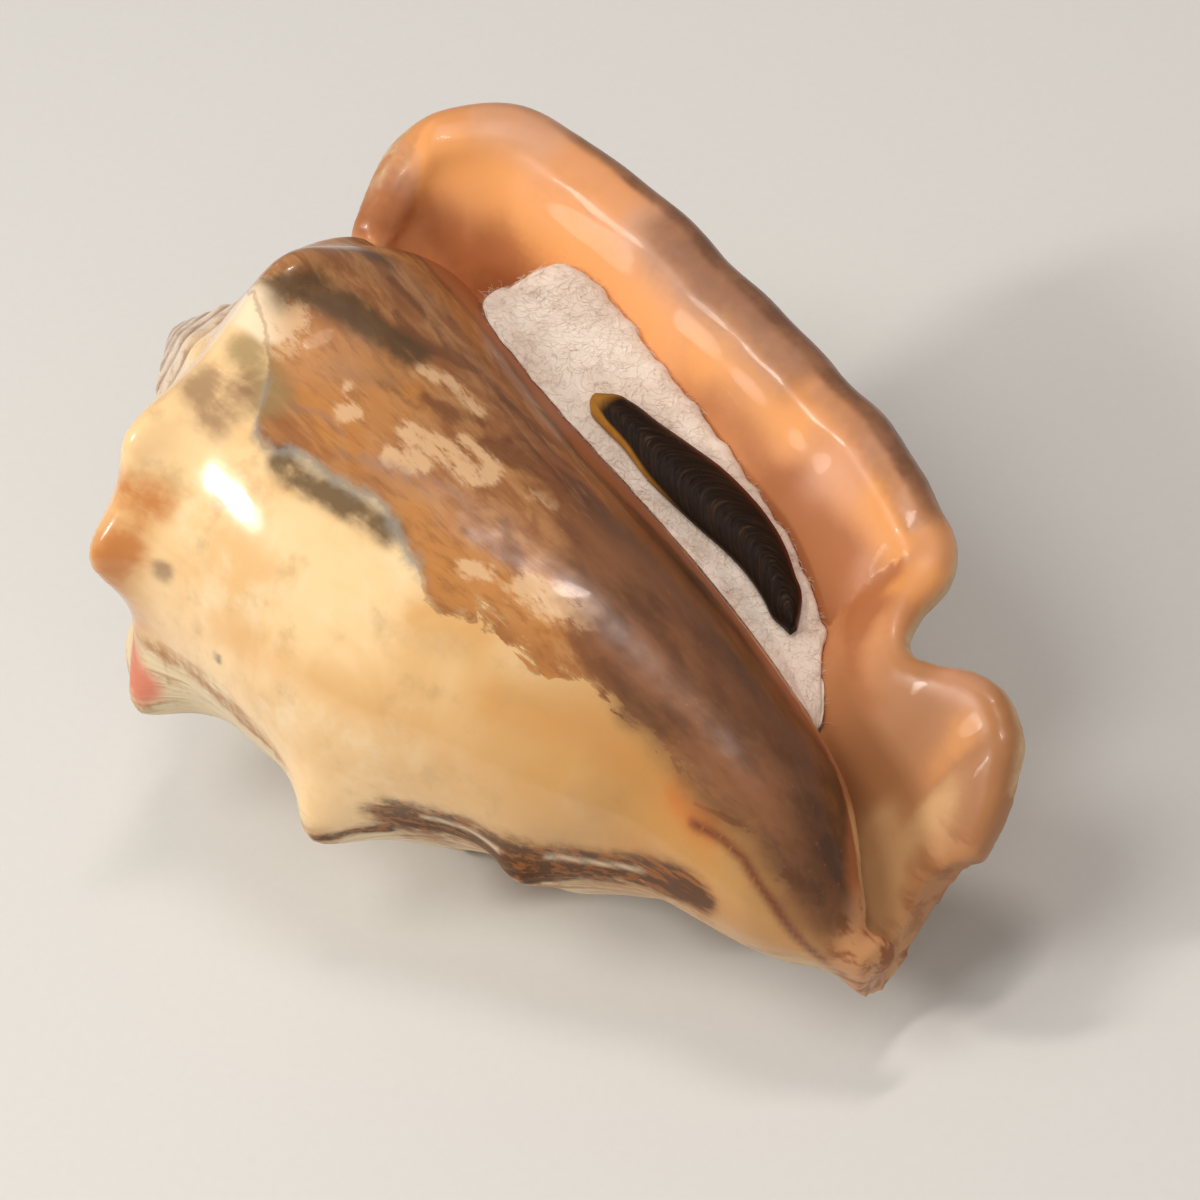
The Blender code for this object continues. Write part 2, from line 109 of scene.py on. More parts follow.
# Rim of the outer lip, from the siphonal canal past the stromboid notch to the suture:
# share of the edge, centre of the rolled rim, half thickness.
RIM = [(0.00, (12.0, -3.1, 5.6), 1.3), (0.02, (15.4, -6.6, 6.1), 1.5), (0.04, (18.3, -8.7, 7.8), 1.7),
       (0.08, (20.7, -9.3, 10.1), 1.9), (0.11, (21.9, -9.5, 13.1), 1.9), (0.14, (21.6, -9.0, 16.4), 1.8),
       (0.175, (20.2, -8.0, 20.2), 1.6),
       (0.20, (19.8, -7.2, 23.4), 1.6), (0.225, (21.2, -7.2, 26.2), 1.7), (0.25, (24.2, -8.0, 27.9), 1.9),
       (0.28, (27.6, -9.0, 28.3), 2.2), (0.31, (30.0, -9.7, 29.8), 2.5), (0.36, (31.7, -11.0, 33.6), 2.7),
       (0.45, (34.4, -12.5, 43.6), 2.8), (0.55, (35.5, -14.0, 56.4), 2.8), (0.65, (36.5, -15.5, 69.7), 2.8),
       (0.75, (36.8, -17.0, 85.6), 2.9), (0.82, (35.2, -18.0, 96.4), 3.0), (0.88, (30.6, -18.5, 102.3), 3.0),
       (0.92, (25.6, -18.0, 104.2), 3.0), (0.96, (20.4, -16.6, 102.7), 2.6), (1.00, (15.0, -13.8, 100.6), 2.0)]

# Direction in which the lip runs out at its rim: share of the edge, degrees ventral of +X, rise.
LIP_RUNOUT = [(0.0, (50, -0.9)), (0.06, (42, -0.5)), (0.12, (35, 0.0)), (0.17, (38, 0.15)),
              (0.2, (42, 0.0)), (0.225, (42, -0.6)), (0.25, (38, -1.8)), (0.28, (32, -1.3)),
              (0.31, (28, -0.5)), (0.4, (27, 0.0)), (0.5, (25, 0.0)), (0.75, (20, 0.15)),
              (0.9, (40, 0.6)), (1.0, (75, 0.3))]

# Ventral face of the wool: height, y.
WOOL_FRONT = [(26, -1.9), (32, -3.5), (36.8, -4.7), (42, -6.0), (52, -8.4), (61, -10.5), (68, -12.1),
              (75, -13.7), (82, -14.8), (86, -14.7), (90, -13.6)]

# Operculum: height, its edge towards the columella, its edge towards the lip.
OPERCULUM = [(67.3, 17.8, 19.2), (66.4, 17.3, 20.6), (65.0, 17.2, 21.2), (61.5, 17.2, 21.8),
             (57.5, 16.7, 22.6), (53.5, 16.8, 23.3), (50.0, 17.0, 23.4), (46.5, 17.3, 23.1),
             (43.0, 17.2, 22.2), (40.0, 16.6, 20.8), (38.0, 16.0, 19.8), (36.9, 16.1, 18.6), (35.7, 16.1, 17.0)]

# Lines across the ventral face by height and by degrees round from the outer lip: the wavy vein that parts the
# cream callus from the mottled ground, the inner margin of the dark band, the inner lip and the end of the glaze.
VEIN = [(20, 118), (30, 112), (37.4, 115), (42, 119), (48.7, 119), (51.7, 121), (53.8, 126), (56.2, 125),
        (58.5, 121), (62, 118), (64.8, 115), (68, 116), (72, 118), (76, 119), (78.7, 122), (81.2, 121),
        (82.8, 114), (86, 106), (92, 98)]
DARK_MARGIN = [(5, 200), (8.0, 190), (10, 176), (13.3, 152), (17.3, 134), (22.2, 134), (26.3, 127), (31.2, 119),
               (36, 115), (41.4, 108), (47.3, 98), (53.8, 88), (59.9, 79), (67.4, 69), (78.6, 64), (88.6, 61),
               (100, 58)]
INNER_LIP = [(5, 50), (10.5, 46), (16.5, 26), (26.6, 37), (40.8, 38), (53.2, 45), (58.7, 48), (75, 45),
             (87.7, 48), (101.6, 45)]
GLAZE_END = [(5, 215), (15, 200), (22, 190), (28, 186), (33, 192), (37, 200), (41, 193), (46, 190), (50, 196),
             (56, 204), (62, 198), (68, 188), (74, 182), (80, 184), (86, 187), (92, 190), (98, 186)]

# Strokes of colour on the last whorl: width in millimetres, strength, and points of height and degrees round.
STROKES = {
    "shade": [(2.2, 1.0, [(91.0, 99), (89.3, 94), (87.5, 88), (84.5, 85), (80.5, 83), (77, 80)]),
              (1.9, 1.0, [(76.5, 122.5), (74, 124), (70.6, 122), (66.8, 120), (63, 119)]),
              (2.6, 0.8, [(34, 110), (31, 107)]),
              (2.6, 0.6, [(93.0, 75), (88.0, 66)])],
    "cloud": [(3.0, 0.9, [(88.2, 109), (85.2, 111), (82.5, 113.5)]),
              (2.6, 0.35, [(57, 140), (50, 132)]), (2.6, 0.3, [(44, 136), (40, 128)])],
    "mauve": [(3.2, 0.9, [(89, 121), (85.5, 124), (85.8, 117)]), (1.5, 1.1, [(82.6, 161)]),
              (2.6, 0.5, [(80, 97), (76, 90)])],
    "fleck": [(3.2, 1.3, [(91.5, 101), (88.0, 100)]), (1.3, 1.1, [(75.5, 103)]), (0.8, 0.9, [(77.7, 99)]),
              (1.0, 0.8, [(74.9, 81), (71.6, 77), (68.1, 76)]), (1.3, 0.9, [(70, 96), (65.6, 93), (61.5, 93)]),
              (1.3, 1.2, [(68.4, 104), (66.2, 101)]),
              (1.1, 1.1, [(60.8, 88)]), (0.8, 1.0, [(56.8, 83), (54.6, 81)]), (1.1, 1.1, [(54.6, 113), (53.2, 111)]),
              (1.8, 1.1, [(49, 106), (46, 103), (43.4, 98)]), (0.8, 0.8, [(66, 87), (62, 85)])],
    "umber": [(1.6, 0.9, [(46, 100), (40, 108), (34, 114)]), (1.0, 0.9, [(56, 96), (50, 104)]),
              (0.9, 1.0, [(79.7, 79), (76.1, 73), (72.4, 66), (67.9, 66)]),
              (1.0, 1.0, [(64.3, 84), (61.6, 80), (59.1, 77)]),
              (2.0, 0.9, [(62.6, 78), (56.2, 70), (51.9, 62)]), (0.7, 0.9, [(70.2, 83), (66.6, 79)]),
              (0.7, 0.9, [(86, 70), (80, 68), (74, 70)]), (0.6, 0.9, [(82, 76), (77, 76)]),
              (0.5, 0.9, [(76, 92), (71, 90)]),
              (0.6, 0.8, [(58, 106), (52, 103)]), (0.8, 0.9, [(72, 86), (68, 85)]), (0.6, 0.8, [(50, 96), (45, 94)])],
    "thread": [(0.35, 0.9, [(70.6, 109), (63.5, 101), (59.3, 99)]), (0.3, 0.8, [(73, 113), (67, 107), (62, 104)]),
               (0.3, 0.8, [(80, 112), (77, 108), (74, 108)])],
    "amber": [(4.2, 1.0, [(84, 100), (81, 98), (77, 93), (73.5, 91)]),
              (3.0, 1.0, [(78, 105), (75, 109), (71, 108)]),
              (3.4, 1.1, [(63, 109), (59, 113), (56, 113), (51, 111), (46, 109)]),
              (2.2, 0.9, [(55.2, 119), (53, 119)]), (1.0, 1.0, [(45.5, 124), (42, 128)]),
              (3.0, 0.8, [(40, 124), (33, 128), (27, 130)])],
    "rust": [(1.2, 1.0, [(84.4, 193), (81, 193), (77.1, 193)]), (2.6, 0.9, [(88.8, 148), (86, 147)]),
             (3.0, 0.9, [(90, 172), (87, 160)]), (2.6, 0.9, [(84, 203), (80, 195)]), (3.2, 0.7, [(92, 176), (88, 182)]),
             (2.4, 0.8, [(26, 127), (22, 132)])],
    "gold": [(4.5, 0.8, [(88, 152), (87, 176)]), (4.0, 0.8, [(86, 192), (83, 204)]), (5.0, 0.5, [(47, 160), (38, 160)]),
             (4.0, 0.9, [(27, 168), (20, 179), (12, 186)]), (3.0, 1.0, [(44.5, 139), (36, 128), (28, 130), (21, 137)]),
             (2.6, 1.0, [(55, 130), (50, 125)]), (3.0, 0.7, [(74, 164), (64, 162), (56, 160)])],
    "band": [(3.2, 1.3, [(52.7, 198), (48.7, 198), (45.2, 196), (40, 196)]),
             (2.8, 1.3, [(36.9, 197), (33, 192), (28, 188), (24.9, 182), (21, 177)]),
             (0.8, 0.8, [(60, 203), (55, 205)])],
    "line": [(0.4, 1.0, [(50, 195), (45, 193), (41, 193)]), (0.35, 1.0, [(36, 190), (31, 187), (27, 183)])],
    "edge": [(0.55, 1.0, [(23, 136), (20, 133), (17.3, 135), (13.3, 150), (10, 174), (8, 186)])],
    "dull": [(5.0, 1.0, [(83.4, 95), (84, 90)]), (4.0, 0.8, [(99.7, 43), (97, 60)])],
    "pit": [(0.5, 1.2, [(74.1, 173)])],
    "vein": [(2.0, 1.0, [(81, 121), (76, 119), (72, 118), (68, 116), (64.8, 115), (62, 118), (59, 121)]),
             (1.6, 0.9, [(82.8, 112), (80.4, 112), (76.5, 114)])],
    "salmon": [(2.4, 1.0, [(90.5, 194), (87, 200)])],
}

# Strokes of colour inside the lip: width in millimetres, strength, and points of share of the edge and way out to it.
LIP_STROKES = {
    # deep: painted shade, darker brown where the throat and the trough below the rolled rim lie in shade.
    "deep": [(3.6, 1.0, [(0.42, 0.60), (0.36, 0.66), (0.30, 0.72), (0.26, 0.80)]),
             (3.2, 1.1, [(0.975, 1.0), (0.949, 0.94), (0.915, 0.82), (0.88, 0.70), (0.84, 0.70)]),
             (3.0, 0.8, [(0.82, 0.74), (0.757, 0.70), (0.70, 0.66)]),
             (3.0, 1.1, [(0.47, 0.74), (0.42, 0.74), (0.375, 0.77), (0.31, 0.84), (0.26, 0.92)]),
             (2.6, 0.7, [(0.61, 0.78), (0.52, 0.76), (0.471, 0.70), (0.40, 0.62), (0.33, 0.62)]),
             (2.0, 0.6, [(0.245, 0.84), (0.20, 0.80)])],
    "glow": [(2.6, 1.0, [(0.93, 0.97), (0.891, 0.93), (0.84, 0.87), (0.76, 0.84), (0.678, 0.82), (0.616, 0.86)]),
             (2.6, 1.0, [(0.60, 0.90), (0.565, 0.93), (0.50, 0.90)]), (2.6, 0.9, [(0.40, 0.94), (0.332, 0.90)]),
             (3.4, 1.0, [(0.105, 0.86), (0.095, 0.70)]), (1.8, 0.8, [(0.285, 1.0), (0.265, 0.98)])],
    # lilac: greyish lilac patches along the rim's crest, partly the lip's lilac tone and partly a painted highlight.
    "lilac_and_painted_highlight": [(2.2, 1.0, [(0.705, 0.97), (0.644, 0.96), (0.594, 0.97), (0.543, 0.97)]),
              (2.0, 0.7, [(0.86, 1.0), (0.80, 0.99)]), (1.8, 0.6, [(0.95, 1.0), (0.93, 1.0)])],
    "pink": [(3.0, 0.9, [(0.455, 0.86), (0.43, 0.92)]), (2.6, 0.7, [(0.70, 0.72), (0.66, 0.70)]),
             (2.4, 0.8, [(0.15, 0.99), (0.13, 0.97)]), (2.4, 0.6, [(0.36, 0.80), (0.30, 0.72)])],
    "burnt": [(2.6, 1.0, [(0.53, 1.0), (0.56, 1.0), (0.66, 1.0), (0.69, 1.0)]), (1.2, 0.7, [(0.35, 1.0), (0.50, 1.0)])],
    # Painted light: a light warm colour low in the canal and the lobe, where the columella keeps the key light off.
    "painted_canal_light": [(4.0, 1.0, [(0.03, 0.12), (0.07, 0.15), (0.10, 0.3)]),
              (4.0, 1.0, [(0.04, 0.68), (0.04, 0.45), (0.05, 0.2)])],
}


def smooth(x, low, high):
    t = np.clip((x - low) / (high - low), 0, 1)
    return t * t * (3 - 2 * t)


def soft_max(a, b, blend):
    h = np.clip(0.5 + 0.5 * (a - b) / blend, 0, 1)
    return b + (a - b) * h + blend * h * (1 - h)


def soft_min(a, b, blend):
    return -soft_max(-a, -b, blend)


def keyed(x, keys):
    """Smooth curve through (x, value) keys, as a cubic Hermite."""
    kx = np.array([k[0] for k in keys], float)
    ky = np.array([k[1] for k in keys], float)
    slope = np.gradient(ky, kx)
    x = np.clip(x, kx[0], kx[-1])
    i = np.clip(np.searchsorted(kx, x) - 1, 0, len(kx) - 2)
    h = kx[i + 1] - kx[i]
    t = (x - kx[i]) / h
    rise = (t**3 - 2 * t**2 + t) * h * slope[i] + (t**3 - t**2) * h * slope[i + 1]
    return (2 * t**3 - 3 * t**2 + 1) * ky[i] + (3 * t**2 - 2 * t**3) * ky[i + 1] + rise


def keyed_points(x, keys):
    count = len(keys[0][1])
    return np.stack([keyed(x, [(k[0], k[1][j]) for k in keys]) for j in range(count)], -1)


def turn_of(azimuth):
    """Share of the last whorl, from 0 at the inner lip to 1 a full turn later."""
    return np.mod((np.radians(INNER_LIP_AZIMUTH) - azimuth) / TAU, 1.0)


def azimuth_of(turn):
    return np.radians(INNER_LIP_AZIMUTH) - TAU * turn


def shoulder(turn):
    """Radius and height of the whorls' shoulder; turns below 0 are the spire's."""
    radius = SHOULDER_R * np.where(turn < 0, SPIRE_GROWTH**turn, BODY_GROWTH**np.minimum(turn, 0.6))
    drop = np.where(turn < 0, SPIRE_GROWTH**turn, 1 + (SPIRE_GROWTH - 1) * 0.55 * turn)
    return radius, APEX_Z - (APEX_Z - SHOULDER_Z) * drop


def whorl_radius(turn, z):
    """Outside of the whorl without its knobs: side below the shoulder, ramp above it."""
    radius, height = shoulder(turn)
    back = smooth(turn, 0.05, 0.42)
    side = (1 - back) * keyed(z, SIDE_LIP) + back * keyed(z, SIDE_BACK)
    crest = 0.05 * np.exp(-((turn - 0.10) / 0.06)**2) * smooth(z, 20, 50)
    flat = 0.02 * np.exp(-((turn - 0.26) / 0.07)**2)
    pillar = 0.4 * smooth(-turn, 0.03, 0.3) * (1 - smooth(z, 35, 75))
    below = radius * side * (1 + crest - flat - pillar)
    return soft_min(below, radius * 1.06 - (z - height) * RAMP_SLOPE, 0.12 * radius)


def knobs(turn, z, arc_radius):
    height = shoulder(turn)[1]
    out = np.zeros(np.broadcast(turn, z).shape)
    for knob_turn, up, stand, along_width, up_width in KNOBS:
        along = (turn - knob_turn) * TAU * arc_radius
        far = (along / along_width)**2 + ((z - height - up) / up_width)**2
        out = out + stand * (0.65 * np.exp(-far) + 0.35 * np.exp(-4 * far))
    return out


def spire_knobs(turn, z):
    radius, height = shoulder(turn)
    wave = np.maximum(np.cos(turn * TAU * 9.0), -0.3)
    band = np.exp(-((z - height + 0.02 * radius) / (0.13 * radius))**2)
    return 0.085 * radius * smooth(-turn, 0.03, 0.2) * wave * band


def body_radius(azimuth, z):
    """Outside of the spire, the columella and the last whorl up to where its free wall takes over."""
    turn = turn_of(azimuth)
    radius = np.full(np.broadcast(azimuth, z).shape, 0.02)
    for back in range(7, 0, -1):
        earlier = turn - back
        whorl = whorl_radius(earlier, z) + spire_knobs(earlier, z)
        if back == 1:
            callus = 1 - smooth(-earlier, 0.03, 0.12)
            whorl = whorl + callus * knobs(earlier, z, np.maximum(whorl, 6))
        radius = soft_max(radius, whorl, 0.35)
    last = whorl_radius(turn, z)
    last = last + knobs(turn, z, np.maximum(last, 6))
    kept = 1 - smooth(turn, 0.54, 0.62)
    radius = soft_max(radius, last * (0.55 + 0.45 * kept) - 40 * (1 - kept), 0.5)
    depth = np.maximum(APEX_Z - 1.2 - z, 0.0)
    worn_apex = np.sqrt((1.1 * depth)**2 + 4.0 * depth)
    return np.maximum(soft_min(radius, worn_apex, 0.8), 0.02)


def wall_profile(turns, share):
    """Radius and height of the free wall's outside, by turn and by share of the way to the suture."""
    radii = np.zeros((len(turns), len(share)))
    heights = np.zeros((len(turns), len(share)))
    for i, turn in enumerate(turns):
        radius, height = shoulder(turn)
        top = height + (radius * 1.06 - shoulder(turn - 1)[0]) / RAMP_SLOPE + 1.0
        z = np.linspace(5.0 + 3.0 * smooth(turn, 0.5, 0.8), top, 400)
        canal = 9.5 * np.exp(-(z / 26.0)**2) * smooth(turn, 0.52, 0.72)
        r = np.hypot(whorl_radius(np.array(turn), z), canal)
        length = np.concatenate([[0], np.cumsum(np.hypot(np.diff(r), np.diff(z)))])
        radii[i] = np.interp(share, length / length[-1], r)
        heights[i] = np.interp(share, length / length[-1], z)
    return radii, heights


def unit(vectors):
    return vectors / (np.linalg.norm(vectors, axis=-1, keepdims=True) + 1e-12)


def wall_surface(columns, whorl_rows, flare_rows):
    """Mid-surface, outward normals, half thickness and knobs of the free wall and the flared lip."""
    share = keyed(np.linspace(0, 1, columns), [(0, 0), (0.15, 0.1), (0.5, 0.34), (0.75, 0.68), (1, 1)])
    turns = np.linspace(WALL_ROOT_TURN, FLARE_TURN, whorl_rows)
    radius, height = wall_profile(turns, share)
    radius = radius - WALL_HALF - 2.0 * (1 - smooth(turns, WALL_ROOT_TURN, 0.54))[:, None]
    azimuth = azimuth_of(turns)[:, None]
    whorl = np.stack([radius * np.cos(azimuth), radius * np.sin(azimuth), height], -1)
    leaving = unit(whorl[-1] - whorl[-2])
    rim = keyed_points(share, [(k[0], k[1]) for k in RIM])
    wave = RIM_WAVE * (np.sin(share * 47.0) + 0.7 * np.sin(share * 83.0 + 1.3)) * smooth(share, 0.3, 0.4)
    rim = rim + wave[:, None] * unit(rim * (1, 1, 0))
    runout = keyed_points(share, LIP_RUNOUT)
    angle = np.radians(runout[:, 0])
    arriving = unit(np.stack([np.cos(angle), -np.sin(angle), runout[:, 1]], -1))
    chord = np.linalg.norm(rim - whorl[-1], axis=-1, keepdims=True)
    t = np.linspace(0, 1, flare_rows)[1:, None, None]
    flare = ((2 * t**3 - 3 * t**2 + 1) * whorl[-1] + (t**3 - 2 * t**2 + t) * chord * leaving
             + (3 * t**2 - 2 * t**3) * rim + (t**3 - t**2) * 0.9 * chord * arriving)
    middle = np.concatenate([whorl, flare], 0)
    out = np.concatenate([np.zeros(whorl_rows), np.linspace(0, 1, flare_rows)[1:]])[:, None]
    half = WALL_HALF + (keyed(share, [(k[0], k[2]) for k in RIM])[None] - WALL_HALF) * smooth(out, 0.2, 1)
    half = half * (1 - 0.6 * smooth(share, 0.92, 1.0)[None] * (1 - smooth(out, 0.3, 0.9)))
    normal = unit(np.cross(np.gradient(middle, axis=0), np.gradient(middle, axis=1)))
    probe = middle[whorl_rows // 2, columns // 2] * (1, 1, 0)
    if normal[whorl_rows // 2, columns // 2] @ probe < 0:
        normal = -normal
    arc = np.maximum(np.hypot(whorl[..., 0], whorl[..., 1]), 6)
    bump = knobs(turns[:, None], whorl[..., 2], arc)
    bump = np.concatenate([bump, bump[-1:] * (1 - smooth(out[whorl_rows:], 0, 0.5))], 0)
    return middle, normal, half, bump, share, out[:, 0]


def wall_ring(columns, whorl_rows, flare_rows):
    """Closed rings round the wall: its outside, the rolled rim as a half circle, and its inside."""
    middle, normal, half, bump, share, out = wall_surface(columns, whorl_rows, flare_rows)
    outside = middle + normal * (half + bump)[..., None]
    crest = RIM_CREST * np.exp(-((out - 0.955) / 0.035)**2)[:, None] * smooth(share, 0.2, 0.3)
    inside = middle - normal * (half + crest)[..., None]
    tangent = unit(middle[-1] - middle[-2])
    angles = np.linspace(0, np.pi, 13)[1:-1]
    roll = [middle[-1] + half[-1][:, None] * (normal[-1] * np.cos(a) + tangent * np.sin(a)) for a in angles]
    return bend_canal(np.concatenate([outside, np.array(roll), inside[::-1]], 0)), bend_canal(inside)


def bend_canal(points, back=1.0):
    """The canal turns to the shell's back as it nears its end; with back=-1 it is straightened again."""
    points = points.copy()
    points[..., 1] += back * CANAL_BEND * np.clip(1 - points[..., 2] / 22.0, 0, 1.3)**2
    return points


def grid_faces(rows, columns, first=0, wrap_rows=False, wrap_columns=False):
    i, j = np.meshgrid(np.arange(rows if wrap_rows else rows - 1),
                       np.arange(columns if wrap_columns else columns - 1), indexing="ij")
    i2, j2 = (i + 1) % rows, (j + 1) % columns
    quads = np.stack([i * columns + j, i * columns + j2, i2 * columns + j2, i2 * columns + j], -1)
    return (quads.reshape(-1, 4) + first).tolist()


def closed_body(rows, columns):
    z = np.linspace(3.9, APEX_Z - 1.22, rows)[:, None]
    azimuth = np.linspace(0, TAU, columns, endpoint=False)[None]
    radius = body_radius(azimuth, z)
    points = bend_canal(np.stack([radius * np.cos(azimuth), radius * np.sin(azimuth), z + 0 * azimuth], -1))
    faces = grid_faces(rows, columns, wrap_columns=True)
    faces.append(list(range(columns))[::-1])
    faces.append(list(range((rows - 1) * columns, rows * columns)))
    return points.reshape(-1, 3), faces


def closed_wall(columns, whorl_rows, flare_rows, first):
    points = wall_ring(columns, whorl_rows, flare_rows)[0]
    rows = len(points)
    faces = grid_faces(rows, columns, first, wrap_rows=True)
    for column in (0, columns - 1):
        for i in range(rows // 2):
            loop = [i, i + 1, rows - 2 - i, rows - 1 - i]
            faces.append(list(dict.fromkeys(first + r * columns + column for r in loop)))
    return points.reshape(-1, 3), faces


def coordinates(mesh):
    flat = np.empty(len(mesh.vertices) * 3)
    mesh.vertices.foreach_get("co", flat)
    return flat.reshape(-1, 3)


def place_points(mesh, points):
    mesh.vertices.foreach_set("co", np.asarray(points, float).ravel())
    mesh.update()


def in_scene(name, data):
    """A new object of the scene that shows the data."""
    piece = bpy.data.objects.new(name, data)
    bpy.context.scene.collection.objects.link(piece)
    return piece


def make_piece(name, points, faces):
    """Object whose mesh has the points, given in millimetres, in metres, with its faces pointing out."""
    mesh = bpy.data.meshes.new(name)
    mesh.from_pydata((np.asarray(points) * MM).tolist(), [], faces)
    work = outward_bmesh(mesh)
    work.to_mesh(mesh)
    work.free()
    mesh.shade_smooth()
    return in_scene(name, mesh)


def outward_bmesh(mesh):
    work = bmesh.new()
    work.from_mesh(mesh)
    bmesh.ops.recalc_face_normals(work, faces=work.faces)
    return work


def evaluated_mesh(piece):
    depsgraph = bpy.context.evaluated_depsgraph_get()
    return bpy.data.meshes.new_from_object(piece.evaluated_get(depsgraph))


def largest_skin(mesh):
    """The mesh without the stray pockets inside it."""
    work = bmesh.new()
    work.from_mesh(mesh)
    unseen = set(work.verts)
    skins = []
    while unseen:
        front = [unseen.pop()]
        skin = list(front)
        while front:
            near = {e.other_vert(v) for v in front for e in v.link_edges} & unseen
            unseen -= near
            front = list(near)
            skin += front
        skins.append(skin)
    skins.sort(key=len)
    for skin in skins[:-1]:
        bmesh.ops.delete(work, geom=skin, context="VERTS")
    work.to_mesh(mesh)
    work.free()
    return mesh


def relaxed(points, edges, rounds, ease=0.5, return_share=1.04):
    """Points evened out with their neighbours, and pushed back each time so that nothing shrinks."""
    count = np.bincount(edges.ravel(), minlength=len(points))[:, None]
    ends = np.concatenate([edges[:, 0], edges[:, 1]])
    others = np.concatenate([edges[:, 1], edges[:, 0]])
    for _ in range(rounds):
        for share in (ease, -ease * return_share):
            mean = np.stack([np.bincount(ends, points[others, k], len(points)) for k in range(3)], -1) / count
            points = points + share * (mean - points)
    return points


def grown_shell():
    """Spire, last whorl and lip as one even skin, in metres in the shell's own frame."""
    body_points, body_faces = closed_body(*BODY_GRID)
    wall_points, wall_faces = closed_wall(*WALL_GRID, len(body_points))
    shell = make_piece("shell_skin", np.concatenate([body_points, wall_points]), body_faces + wall_faces)
    remesh = shell.modifiers.new("Grown together", "REMESH")
    remesh.mode = "VOXEL"
    remesh.voxel_size = VOXEL
    mesh = largest_skin(evaluated_mesh(shell))
    shell.modifiers.clear()
    edges = np.empty(len(mesh.edges) * 2, int)
    mesh.edges.foreach_get("vertices", edges)
    points = relaxed(coordinates(mesh), edges.reshape(-1, 2), RELAX_ROUNDS)
    place_points(mesh, points)
    mesh.shade_smooth()
    mesh.name = "shell_skin"
    shell.data = mesh
    return shell


def nearest_on_wall(points):
    """Side of the wall, share of its edge and distance out to the rim, from 0 to 1, for each point."""
    middle, normal, _, _, share, out = wall_surface(*MEASURING_GRID)
    middle = bend_canal(middle)
    rows, columns = middle.shape[:2]
    tree = BVHTree.FromPolygons(middle.reshape(-1, 3).tolist(), grid_faces(rows, columns))
    side, along, outward, far = (np.zeros(len(points)) for _ in range(4))
    for i, point in enumerate(points.tolist()):
        location, _, face, distance = tree.find_nearest(point)
        row, column = divmod(face, columns - 1)
        corner = middle[row, column]
        across = middle[row + 1, column] - corner
        length = middle[row, column + 1] - corner
        step = np.array(location) - corner
        u = min(max(step @ across / (across @ across), 0.0), 1.0)
        v = min(max(step @ length / (length @ length), 0.0), 1.0)
        side[i] = (np.array(point) - location) @ normal[row, column]
        along[i] = share[column] * (1 - v) + share[column + 1] * v
        outward[i] = out[row] * (1 - u) + out[row + 1] * u
        far[i] = distance
    return side, along, outward, far


def stroke(height, degrees, radius, width, strength, line):
    """Strength of a soft stroke along the line of (height, degrees round) points."""
    across = np.radians(degrees) * radius
    nearest = np.full(len(height), 1e9)
    points = line if len(line) > 1 else [line[0], line[0]]
    for (z0, a0), (z1, a1) in zip(points[:-1], points[1:]):
        x0, x1 = np.radians(a0) * radius, np.radians(a1) * radius
        dx, dz = x1 - x0, z1 - z0
        t = np.clip(((across - x0) * dx + (height - z0) * dz) / (dx * dx + dz * dz + 1e-9), 0, 1)
        nearest = np.minimum(nearest, np.hypot(across - x0 - t * dx, height - z0 - t * dz))
    return strength * np.exp(-(nearest / width)**2)


def lip_stroke(share, out, width, strength, line):
    """Strength of a soft stroke on the lip along the line of (share of the edge, way out) points."""
    x, y = share * LIP_LONG, out * LIP_WIDE
    nearest = np.full(len(share), 1e9)
    for (s0, o0), (s1, o1) in zip(line[:-1], line[1:]):
        x0, y0, dx, dy = s0 * LIP_LONG, o0 * LIP_WIDE, (s1 - s0) * LIP_LONG, (o1 - o0) * LIP_WIDE
        t = np.clip(((x - x0) * dx + (y - y0) * dy) / (dx * dx + dy * dy + 1e-9), 0, 1)
        nearest = np.minimum(nearest, np.hypot(x - x0 - t * dx, y - y0 - t * dy))
    return strength * np.exp(-(nearest / width)**2)


def suture_lines(turn, z):
    """Strength of the lines where each whorl of the spire meets the one above it."""
    lines = np.zeros(len(z))
    for back in range(8):
        radius, height = shoulder(turn - back)
        seam = height + (radius * 1.06 - shoulder(turn - back - 1)[0]) / RAMP_SLOPE
        lines = np.maximum(lines, np.exp(-((z - seam) / 0.45)**2))
    return lines


